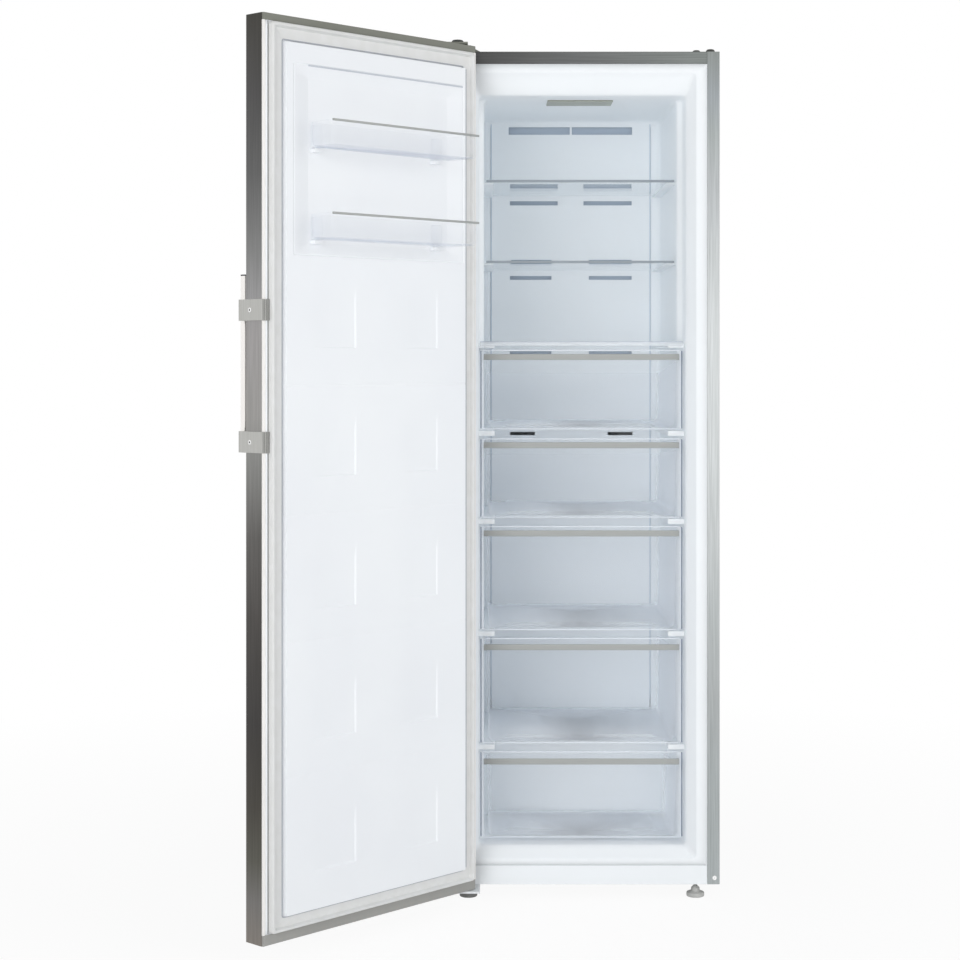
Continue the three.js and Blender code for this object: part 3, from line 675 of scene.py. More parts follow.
@dataclass(frozen=True)
class CoatedSheet(Finish):
    """Powder-coated or stove-enamelled steel: one colour with a fine pebbled skin."""

    pebble: float = 2.5

    def build(self) -> bpy.types.Material:
        """Even colour with clouds of 200 mm and pebbled relief, 2.5 mm so that it shows.

        Returns:
            The material.
        """
        shader = Shader(self.name)
        pebbles = shader.grain(self.pebble, 2.0)
        clouds = shader.add("ShaderNodeMapRange", sockets={
            "Value": shader.grain(200.0), **USUAL})
        tone = shader.add("ShaderNodeMix", COLOURS, {
            0: clouds.outputs[0], 6: linear(self.colour), 7: linear(self.shade)})
        gloss = shader.add("ShaderNodeMapRange", sockets={
            "Value": pebbles, **USUAL, **self.gloss(-0.06, 0.06)})
        relief = shader.add("ShaderNodeBump", sockets={
            "Height": pebbles, "Distance": 0.08 * MM, "Strength": 1.0})
        shader.set(Base_Color=tone.outputs[2], Roughness=gloss.outputs[0],
                   Normal=relief.outputs[0])
        return shader.material


@dataclass(frozen=True)
class BlownFoam(Finish):
    """Rigid polyurethane foam: dull, yellowish, with bubbles of 3 mm in its skin."""

    bubble: float = 3.0

    def build(self) -> bpy.types.Material:
        """Cells of a Voronoi pattern, darker and sunk at their middles.

        Returns:
            The material.
        """
        shader = Shader(self.name)
        cells = shader.add("ShaderNodeTexVoronoi", sockets={
            "Vector": shader.place, "Scale": 1 / (self.bubble * MM)}).outputs["Distance"]
        share = shader.add("ShaderNodeMapRange", sockets={"Value": cells, "From Max": 0.8})
        tone = shader.add("ShaderNodeMix", COLOURS, {
            0: share.outputs[0], 6: linear(self.shade), 7: linear(self.colour)})
        relief = shader.add("ShaderNodeBump", sockets={
            "Height": cells, "Distance": 0.4 * MM, "Strength": 1.0})
        shader.set(Base_Color=tone.outputs[2], Roughness=self.roughness,
                   Normal=relief.outputs[0])
        return shader.material


@dataclass(frozen=True)
class SoftSeal(Finish):
    """Extruded soft PVC: matt and warm grey, faintly waved along its length by its bedding."""

    def build(self) -> bpy.types.Material:
        """Matt colour with long soft waves of 25 mm and a fine grain of 3 mm.

        Returns:
            The material.
        """
        shader = Shader(self.name)
        waves = shader.grain(25.0, 1.0)
        share = shader.add("ShaderNodeMapRange", sockets={"Value": waves, **USUAL})
        tone = shader.add("ShaderNodeMix", COLOURS, {
            0: share.outputs[0], 6: linear(self.colour), 7: linear(self.shade)})
        gloss = shader.add("ShaderNodeMapRange", sockets={
            "Value": shader.grain(3.0, 2.0), **USUAL, **self.gloss(-0.05, 0.05)})
        relief = shader.add("ShaderNodeBump", sockets={
            "Height": waves, "Distance": 0.12 * MM, "Strength": 0.6})
        shader.set(Base_Color=tone.outputs[2], Roughness=gloss.outputs[0], Sheen_Weight=0.1,
                   Normal=relief.outputs[0])
        return shader.material


# Vacuum-formed white sheet: bright and softly glossy, the room a little bluer than the door.
LINER = MouldedPlastic("vacuum_formed_polystyrene_liner", "#f8fbfd", "#f5f8fa", 0.42)
DOOR_LINER = MouldedPlastic("vacuum_formed_polystyrene_door", "#f8fafc", "#f4f6f9", 0.42)
# The same sheet at the door's trimmed rim, where it is thin and looks warmer.
RIM = MouldedPlastic("vacuum_formed_polystyrene_rim", "#f9f6f3", "#f4f1ee", 0.42)
# A fold of the sheet that gets no light: a grey strip paints its shade as a soft line.
CREASE_SHADE = MouldedPlastic("polystyrene_shaded_crease", "#ced2da", "#c8ccd4", 0.5)
# Expanded polystyrene air channel: its dull blue-grey paints the shade seen behind the slots, and
# paler strips in its joints paint a soft shade line along each.
DUCT_FOAM_SLOT_SHADE = MouldedPlastic("expanded_polystyrene_grey_blue", "#c3cedb", "#bac6d4", 0.8, peel=4.0)
JOINT_SHADE_LINE = MouldedPlastic("expanded_polystyrene_pale_blue", "#d3deea", "#cbd7e4", 0.8, peel=4.0)
# Brushed cabinet sheet: silver with hair lines, and bands that paint a reflection of the room,
# brightest at two thirds of its height.
SHEET_STEEL = BrushedSteel("brushed_stainless_sheet", "#ffffff", "#e4e5e4", 0.34, bands=(
    (30, "#b6bcbd"), (265, "#b6bcbd"), (439, "#bcc0c1"), (612, "#cacfd0"), (785, "#d9ddde"),
    (959, "#e4e8e9"), (1132, "#e8eced"), (1305, "#e4e8e9"), (1392, "#dce0e1"),
    (1479, "#d3d7d9"), (1565, "#c9cdcf"), (1652, "#bcc2c2"), (1739, "#b0b6ba"),
    (1835, "#9fa4a2")))
# Brushed door sheet: the same sheet, with darker bands that paint the reflection of the room's dark
# side, a warm low end and one pale band.
DOOR_STEEL = BrushedSteel("brushed_stainless_door_sheet", "#ffffff", "#e4e5e4", 0.34, bands=(
    (30, "#8d8781"), (114, "#7f7d7b"), (193, "#64635c"), (300, "#524f4a"), (460, "#494746"),
    (664, "#595654"), (821, "#6d6b69"), (978, "#969694"), (1057, "#a8a6a4"), (1214, "#adaaaa"),
    (1292, "#a3a2a3"), (1371, "#909090"), (1528, "#6d6d6d"), (1685, "#5a5959"),
    (1840, "#4e4c48")))
# Brushed clamps of the handle: a lighter, duller grey than the sheets.
CLAMP_STEEL = BrushedSteel("brushed_stainless_clamp", "#c3c3c0", "#b9b9b5", 0.38)
# Drawn and anodised tube of the handle: nearly white, with lines along it.
TUBE = SatinMetal("anodised_aluminium_tube", "#fcf9f6", "#f5f2ef", 0.32, stretch=(1, 1, 80))
# Zinc-plated screws: small, bright and smooth.
BRIGHT_ZINC = SatinMetal("bright_zinc_plated_steel", "#ffffff", "#f4f4f2", 0.25, metallic=0.5)
# Foil on the drawers' and bins' rails, and the shelves' anodised front: satin silver.
BAR_FOIL = SatinMetal("satin_silver_drawer_trim", "#b3b5b3", "#a9aba9", 0.45, metallic=0.5)
SHELF_TRIM = SatinMetal("anodised_aluminium_shelf_trim", "#a5adb4", "#949ca3", 0.4, metallic=0.6)
# Crystal polystyrene of bins and front plates: clear face on, blue at a grazing look.
CLEAR = ClearMoulding("injection_moulded_crystal_polystyrene", "#eef3fa", "#a9b8da", 0.2)
PLATE = ClearMoulding("injection_moulded_plate_polystyrene", "#eef3fa", "#a9b8da", 0.2, 0.04,
                      0.9)
# Satin polystyrene of the tubs: milkier, so that the walls behind the plates stay white.
TUB = ClearMoulding("injection_moulded_satin_polystyrene", "#f8fafd", "#f4f7fc", 0.3, 0.1, 0.9,
                    1.6)
# Toughened float glass: the clearest of all, with a cool tint along its edge.
PANE = ClearMoulding("float_glass_toughened", "#e6eff5", "#b4c6d2", 0.06, 0.03, 0.45)
# Clear front trim of the cover, thick enough to look half white.
COVER_EDGE = ClearMoulding("injection_moulded_cover_edge", "#eef2f6", "#b9c3d2", 0.2, 0.5, 0.95)
# Crystal polystyrene seen along its thickness, in opaque colours: a painted highlight at a bead, and
# a pale or blue-grey painted shade at an edge.
BEAD_HIGHLIGHT = MouldedPlastic("crystal_polystyrene_bead", "#f4f7fc", "#eef2f9", 0.2)
EDGE_SHADE_PALE = MouldedPlastic("crystal_polystyrene_pale_edge", "#c3c8d2", "#b9bfca", 0.25)
EDGE_SHADE = MouldedPlastic("crystal_polystyrene_edge_on", "#7d889c", "#727d92", 0.25)
# Soft PVC where it lies in shadow, painted grey: a painted shade line round the panel, and a darker
# painted shade line at the seal's root.
OUTLINE_SHADE = MouldedPlastic("soft_pvc_seal_shaded", "#b6b9c0", "#aeb1b8", 0.7)
SEAL_ROOT_SHADE = MouldedPlastic("soft_pvc_seal_root", "#8f908f", "#858685", 0.7)
# Moulded parts outside: the door's lower cap; a lighter copy of the feet's grey that paints the
# light on the right foot; and charcoal for the handle's end caps, which also paints the shade inside
# the air slits.
CAP_LOW = MouldedPlastic("abs_moulded_warm_grey", "#a6a5a1", "#9c9b97", 0.5)
PAINTED_LIGHT_FOOT = MouldedPlastic("polypropylene_moulded_pale_grey", "#c9c9c6", "#b4b4b1", 0.55)
CHARCOAL_AND_SLIT_SHADE = MouldedPlastic("abs_moulded_charcoal", "#2f3440", "#262a34", 0.6)

# The finish of each of the record's material slots.
BY_SLOT: dict[str, Finish] = {
    "brushed_steel": SHEET_STEEL,
    # Dark top trim: its bands along X give both the trim's own dark tone and a painted reflection
    # that lightens towards the right.
    "dark_trim": BrushedSteel("brushed_steel_smoked", "#ffffff", "#e4e5e4", 0.42,
                              stretch=(90, 1, 1), bands_along="X", bands=(
                                  (-75, "#636363"), (0, "#646464"), (237, "#808282"),
                                  (432, "#929795"), (475, "#929795"))),
    "end_cap": MouldedPlastic("abs_moulded_olive_grey", "#86877e", "#7c7d74", 0.5),
    "white_plastic": LINER,
    "white_sheet": CoatedSheet("powder_coated_sheet_white", "#eef0f1", "#e6e9eb", 0.5),
    "foam": BlownFoam("polyurethane_foam_blown", "#e9dfb8", "#cfc292", 0.95),
    "seal": SoftSeal("soft_pvc_seal_extruded", "#e4e4e3", "#e0e0de", 0.62),
    "clear_plastic": CLEAR,
    "shelf_glass": PANE,
    "silver_trim": BAR_FOIL,
    "galvanised": SpangledZinc("hot_dip_galvanised_sheet", "#a9adae", "#94989a", 0.45),
    "aluminium": SatinMetal("anodised_aluminium_drawn", "#b2b3b1", "#a4a5a3", 0.4,
                            stretch=(1, 1, 60)),
    "black_enamel": CoatedSheet("stove_enamel_black", "#242528", "#1c1d20", 0.4),
    "grey_plastic": MouldedPlastic("polypropylene_moulded_grey", "#7f7f7d", "#737371", 0.55),
    "dark_plastic": MouldedPlastic("polypropylene_moulded_dark", "#454643", "#383936", 0.5),
    "control_film": SatinMetal("polyester_film_silver_grey", "#b1b3a8", "#a6a89c", 0.4,
                               metallic=0.3),
}


# ---- from surfaces to pieces -----------------------------------------------------------------


@dataclass(frozen=True)
class View:
    """The photograph's camera, which stands level: its place, its lens and its picture's shift."""

    eye: tuple[float, float, float] = (-221.95, -4364.71, 1165.8)
    lens: float = 75.555
    sensor: float = 36.0
    shift: float = -0.1245
    rows: int = 960

    def height(self, row: float, y: float) -> float:
        """The height that a row of the picture shows at a depth.

        It is the eye's height minus the rows below the level row, times the distance over the
        focal length, which is the lens over the sensor times the picture's rows.

        Args:
            row: The row, counted from the picture's top.
            y: The depth behind the cabinet's front plane.

        Returns:
            The height above the floor.
        """
        level_row = self.rows * (0.5 + self.shift)
        focal_rows = self.lens / self.sensor * self.rows
        return self.eye[2] - (row - level_row) * (y - self.eye[1]) / focal_rows


VIEW = View()


@dataclass(frozen=True)
class Datum:
    """Where the cabinet's zero and the door's pin lie in the row frame."""

    zero: Array
    pin: Array
    opening: float

    @classmethod
    def of(cls, frame: dict[str, Any]) -> "Datum":
        """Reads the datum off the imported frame.


        Returns:
            The datum.
        """
        low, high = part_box("plinth_panel")
        hinge = next(j for j in frame["joints"] if j["name"] == "door_hinge")
        zero = np.array([(low.x + high.x) / 2, low.y, 0.0])
        return cls(zero, np.array(hinge["pos_m"], float), math.radians(-hinge["range_deg"][0]))

    def cabinet(self, points: Array) -> Array:
        """Cabinet millimetres as metres in the row frame."""
        return points * MM + self.zero

    def door(self, points: Array) -> Array:
        """Closed-door millimetres as metres, turned clockwise about the pin by the opening.

        Args:
            points: Points of the closed door.

        Returns:
            Where they are on the open door, in the row frame.
        """
        placed = self.cabinet(points)
        dx, dy = placed[:, 0] - self.pin[0], placed[:, 1] - self.pin[1]
        c, s = math.cos(self.opening), math.sin(self.opening)
        turned_x = self.pin[0] + dx * c + dy * s
        turned_y = self.pin[1] - dx * s + dy * c
        return np.stack([turned_x, turned_y, placed[:, 2]], axis=1)


@dataclass
class Workshop:
    """Puts surfaces into the scene as finished pieces that ride on their bodies."""

    datum: Datum
    frame: dict[str, Any]
    made: list[str] = field(default_factory=list)

    def piece(self, name: str, surface: Surface, finish: Finish, body: str,
              replaces: Sequence[str] = (), slot: str | None = None, on_door: bool = False,
              sheet: float = 0.0, sharp: float = 32.0, inverted: bool = False) -> bpy.types.Object:
        """Makes a mesh piece.

        Args:
            name: The piece's name.
            surface: Its points and faces in millimetres.
            finish: Its finish.
            body: The CAD body that it rides on.
            replaces: CAD nodes that it stands for.
            slot: The record's material slot; not used.
            on_door: Whether its sizes are those of the closed door.
            sheet: Thickness given to an open sheet behind its face, or 0 for a closed surface.
            sharp: Edges that bend more than this, in degrees, stay sharp.
            inverted: Turns an open sheet's faces round.

        Returns:
            The object.
        """
        place = self.datum.door if on_door else self.datum.cabinet
        mesh = bpy.data.meshes.new(name)
        mesh.from_pydata(place(surface.points), [], surface.faces)
        form = bmesh.new()
        form.from_mesh(mesh)
        bmesh.ops.remove_doubles(form, verts=form.verts, dist=1e-6)
        bmesh.ops.dissolve_degenerate(form, edges=form.edges, dist=1e-7)
        if sheet:
            if inverted:
                bmesh.ops.reverse_faces(form, faces=form.faces)
        else:
            bmesh.ops.recalc_face_normals(form, faces=form.faces)
        form.to_mesh(mesh)
        form.free()
        piece = self.settle(name, mesh, finish, body, replaces, sharp)
        if sheet:
            wall = piece.modifiers.new("wall", "SOLIDIFY")
            wall.thickness, wall.offset = sheet * MM, -1.0
        return piece

    def rounded(self, node: str, finish: Finish | None = None, width: float = 0.8,
                sharp: float = 32.0) -> bpy.types.Object:
        """Replaces a CAD node with a merged copy whose sharp edges are rounded.

        Args:
            node: The CAD node.
            finish: Its finish, or that of its material slot.
            width: Width of the rounding in millimetres.
            sharp: Edges that bend more than this, in degrees, stay sharp.

        Returns:
            The object.
        """
        body = next(b for b, nodes in self.frame["record"]["behaviour"]["bodies"].items()
                    if node in nodes)
        mesh = self.frame["nodes"][node].data.copy()
        form = bmesh.new()
        form.from_mesh(mesh)
        bmesh.ops.remove_doubles(form, verts=form.verts, dist=1e-5)
        bmesh.ops.dissolve_limit(form, angle_limit=math.radians(0.5), verts=form.verts,
                                 edges=form.edges)
        form.to_mesh(mesh)
        form.free()
        mesh.materials.clear()
        slot = self.slot_of(node)
        piece = self.settle(f"{node}_rounded", mesh, finish or BY_SLOT[slot], body, (node,),
                            sharp)
        edge = piece.modifiers.new("rounding", "BEVEL")
        edge.width, edge.segments, edge.limit_method = width * MM, 3, "ANGLE"
        edge.angle_limit, edge.harden_normals = math.radians(25), True
        return piece

    def settle(self, name: str, mesh: bpy.types.Mesh, finish: Finish, body: str,
               replaces: Sequence[str], sharp: float) -> bpy.types.Object:
        """Shades a mesh, dresses it and lets it ride.

        Args:
            name: The piece's name.
            mesh: Its mesh, in the row frame.
            finish: Its finish.
            body: The body that it rides on.
            replaces: CAD nodes that it stands for.
            sharp: Edges that bend more than this, in degrees, stay sharp.

        Returns:
            The object.
        """
        mesh.shade_smooth()
        mesh.set_sharp_from_angle(angle=math.radians(sharp))
        mesh.materials.append(finish.material())
        piece = bpy.data.objects.new(name, mesh)
        bpy.context.scene.collection.objects.link(piece)
        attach(piece, body)
        if replaces:
            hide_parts(*replaces)
        self.made.append(name)
        log.info("piece %s on %s, %d faces", name, body, len(mesh.polygons))
        return piece

    def slot_of(self, node: str) -> str:
        """The record's material slot of a CAD node."""
        return next(s["material_slot"] for s in self.frame["record"]["subparts"]
                    if s["node"] == node)

    def dress_frame(self) -> None:
        """Dresses every CAD node that still shows in the finish of its slot."""
        for name, node in self.frame["nodes"].items():
            if not node.hide_render:
                node.data.materials.clear()
                node.data.materials.append(BY_SLOT[self.slot_of(name)].material())
                log.info("dressed %s", name)


# ---- the cabinet -----------------------------------------------------------------------------


@dataclass(frozen=True)
class Ledge:
    """A pair of mirrored ledges on the room's side walls: heights, depths and inner edge."""

    top: float
    height: float = 12.0
    inner: float = 190.0
    near: float = 50.0
    far: float = 470.0


@dataclass
class Cabinet:
    """Outer steel, inner liner with its ledges, duct panel and trims."""

    shop: Workshop
    half: float = 297.5
    depth: float = 595.0
    bottom: float = 31.0
    top: float = 1835.0
    # The side panels are folded round their front edge into a strip beside the opening.
    strip: float = 27.0
    fold: float = 2.6
    sheet: float = 1.5
    # The liner's flange, flare and mouth from the front, then the room behind the mouth.
    flange_half: float = 270.2
    flange: tuple[float, float] = (72.0, 1808.1)
    flare_half: float = 245.4
    flare: tuple[float, float] = (88.0, 1788.0)
    mouth_half: float = 225.0
    mouth_depth: float = 85.0
    room_half: float = 213.0
    room: tuple[float, float] = (112.0, 1742.0)
    room_back: float = 486.0
    # Left, right and rear of the recess behind the duct panel.
    recess: tuple[float, float, float] = (-196.0, 188.0, 540.0)
    # Front and top of the raised floor over the machine room.
    step: tuple[float, float] = (300.0, 322.0)
    ledges: tuple[Ledge, ...] = (
        Ledge(1012), Ledge(819), Ledge(573), Ledge(325, far=301.0), Ledge(1203, 10.0),
        Ledge(1560.7, 3.0, 192.0, 110.0, 478.0), Ledge(1381.7, 3.0, 192.0, 110.0, 478.0))
    screw: tuple[float, float, float] = (286.0, 0.0, 45.0)
    duct_x: tuple[float, float] = (-176.0, 170.0)
    duct_slots: tuple[tuple[float, float], ...] = (
        (1150, 1218), (1345, 1418), (1530, 1600), (1700, 1736))
    duct_joint: float = 1.8
    duct_ends: tuple[float, float] = (352.0, 1740.0)
    # Each slit is two rows of the picture, and 1 where it stands a little to the right.
    slits: tuple[tuple[float, float, int], ...] = (
        (361, 371, 0), (395, 398.6, 1), (415, 419, 0), (449, 455, 0), (481, 485, 1),
        (501, 505, 0), (549, 565, 0), (572, 576, 1), (579, 583, 1), (586, 590, 0),
        (593, 597, 0), (631.5, 636, 0), (660, 673, 0), (683, 687, 1), (690, 694, 1),
        (696, 700, 0), (703, 707, 0))
    slit_x: float = 205.0
    slit_width: float = 2.4
    slit_offset: float = 2.6

    def build(self) -> None:
        """Makes every cabinet piece."""
        self.side_panels()
        self.liner()
        self.steps_and_ledges()
        self.vents()
        self.duct_backing()
        for node, width in (("top_front_trim", 0.8), ("plinth_panel", 0.8), ("top_panel", 0.5),
                            ("back_panel", 0.5), ("ceiling_panel", 0.8), ("control_box", 2.0),
                            ("drain_tray", 0.8), ("mains_gland", 0.6), ("base_pan", 0.4)):
            self.shop.rounded(node, width=width)

    def side_panels(self) -> None:
        """Steel sides, each folded round its front edge into the strip beside the opening."""
        for side, node in ((-1, "side_panel_left"), (1, "side_panel_right")):
            line = filleted([(side * (self.half - self.strip), 0), (side * self.half, 0),
                             (side * self.half, self.depth)], self.fold)
            panel = folded_sheet(line, side * self.sheet, self.bottom, self.top)
            self.shop.piece(f"{node}_folded", panel, SHEET_STEEL, "cabinet", [node],
                            "brushed_steel", sharp=50)
        screw = turned([(4.8, 0), (4.8, -0.9), (4.0, -1.5), (1.6, -1.6), (1.4, -0.5), (0.4, -0.4)],
                       self.screw, Axis.Y, 24)
        self.shop.piece("strip_screw", screw, BRIGHT_ZINC, "cabinet", slot="galvanised")

    def liner(self) -> None:
        """The moulded room: a flat flange, a flared mouth, a step to narrower walls, the rear.

        Its rings go from the front to the back. The flare's lip is three close rings, the step
        between mouth and room follows 3t^2 - 2t^3, and the rear corner is a quarter turn.
        """
        (low, high), (floor, ceiling) = self.flange, self.room
        lip, flare_run, corner, corner_steps = 1.3, 22.0, 14.0, 6
        front = Ring(-self.flange_half, self.flange_half, low, high, 0.5, 0.0)
        flare = Ring(-self.flare_half, self.flare_half, *self.flare, 9.0, 0.0)
        mouth = Ring(-self.mouth_half, self.mouth_half, floor, ceiling, 9.0, 25.0)
        narrow = Ring(-self.room_half, self.room_half, floor, ceiling, 11.0, self.mouth_depth)
        left, right, deep = self.recess
        opening = Ring(left, right, self.step[1] + 3, ceiling - 3, 4.0, self.room_back)
        rings = [front, flare.grown(2.2, 0.0), flare.grown(0.9, 0.35), flare.grown(0, lip)]
        rings += [between(flare, mouth, t, lip + t * flare_run) for t in (0.3, 0.6, 0.9)]
        step_start, step_run, turn_start = self.mouth_depth - 6, 12, self.room_back - corner
        rings += [between(flare, mouth, 0.97, 24.4), replace(mouth, depth=28.0),
                  replace(mouth, depth=step_start)]
        rings += [between(mouth, narrow, float(eased(np.array(t))), step_start + step_run * t)
                  for t in (0.25, 0.5, 0.75, 1.0)]
        rings += [replace(narrow, depth=d) for d in (130.0, 250.0, 380.0, turn_start)]
        turn = np.linspace(0, np.pi / 2, corner_steps)[1:]
        rings += [replace(narrow.grown(-corner * (1 - math.cos(a))),
                          depth=turn_start + corner * math.sin(a)) for a in turn.tolist()]
        rings += [opening.grown(1.5, self.room_back), opening.grown(0.4, self.room_back + 0.6),
                  replace(opening, depth=self.room_back + 3), replace(opening, depth=deep)]
        skin = loft(rings, Axis.Y, Ends.OPEN, corner_steps)
        count = 4 * (corner_steps + 1)
        last = (len(rings) - 1) * count
        skin.faces.append(list(range(last, last + count)))
        self.shop.piece("liner_shell", skin, LINER, "cabinet", ["inner_liner"], "white_plastic",
                        sheet=2.0, sharp=60)

    def steps_and_ledges(self) -> None:
        """The raised floor over the machine room, and the ledges of drawers, cover and shelves."""
        front, top = self.step
        body = soft_block((-self.room_half - 0.8, self.room_half + 0.8),
                          (front, self.room_back + 1), (self.room[0] - 1, top), Axis.X, 9, 0.3, 6)
        wall, wide = self.room_half + 0.8, self.mouth_half + 0.8
        for ledge in self.ledges:
            bottom, corner, edge = (ledge.top - ledge.height, min(2.0, ledge.height / 3),
                                    min(1.5, ledge.height / 3))
            for side in SIDES:
                body += soft_block(flank(side, ledge.inner, wall), (ledge.near, ledge.far),
                                   (bottom, ledge.top), Axis.Y, corner, edge)
                if ledge.near < self.mouth_depth:
                    body += soft_block(flank(side, ledge.inner + 4, wide),
                                       (ledge.near + 0.2, self.mouth_depth + 2),
                                       (bottom + 0.1, ledge.top - 0.1), Axis.Y, 2.0, 1.5)
        self.shop.piece("liner_ledges", body, LINER, "cabinet", slot="white_plastic")

    def duct_backing(self) -> None:
        """Foam channel behind the duct panel: its blue-grey paints the shade seen through its slots,
        and pale strips paint the shade lines along its two joints.
        """
        left, right, _ = self.recess
        back = self.room_back
        plate = Surface.empty()
        for span in self.duct_slots:
            plate += soft_block(self.duct_x, (back + 4.4, back + 6.4), span, Axis.Y, 2, 0.4)
        self.shop.piece("duct_channel_foam", plate, DUCT_FOAM_SLOT_SHADE, "cabinet", slot="foam")
        joints = Surface.empty()
        for x in (left + 0.1, right - self.duct_joint - 0.1):
            joints += soft_block((x, x + self.duct_joint), (back - 1.6, back + 1), self.duct_ends,
                                 Axis.Z, 0.4, 0.2)
        self.shop.piece("duct_joint_lines", joints, JOINT_SHADE_LINE, "cabinet", slot="foam")

    def vents(self) -> None:
        """Dark strips in a column on the rear wall's right-hand strip, which paint the shade inside
        small air slits.
        """
        back = self.room_back
        column = Surface.empty()
        for top_row, bottom_row, offset in self.slits:
            x = self.slit_x + self.slit_offset * offset
            column += soft_block((x, x + self.slit_width), (back - 0.6, back + 0.6),
                                 (VIEW.height(bottom_row, back), VIEW.height(top_row, back)),
                                 Axis.Y, 0.8, 0.2)
        self.shop.piece("rear_air_slits", column, CHARCOAL_AND_SLIT_SHADE, "cabinet", slot="dark_plastic")


@dataclass(frozen=True)
class DrawerSize:
    """Heights of a drawer's front plate and of its bar, and the depth of its rear wall."""

    top: float
    bottom: float
    bar_top: float
    back: float = 470.0


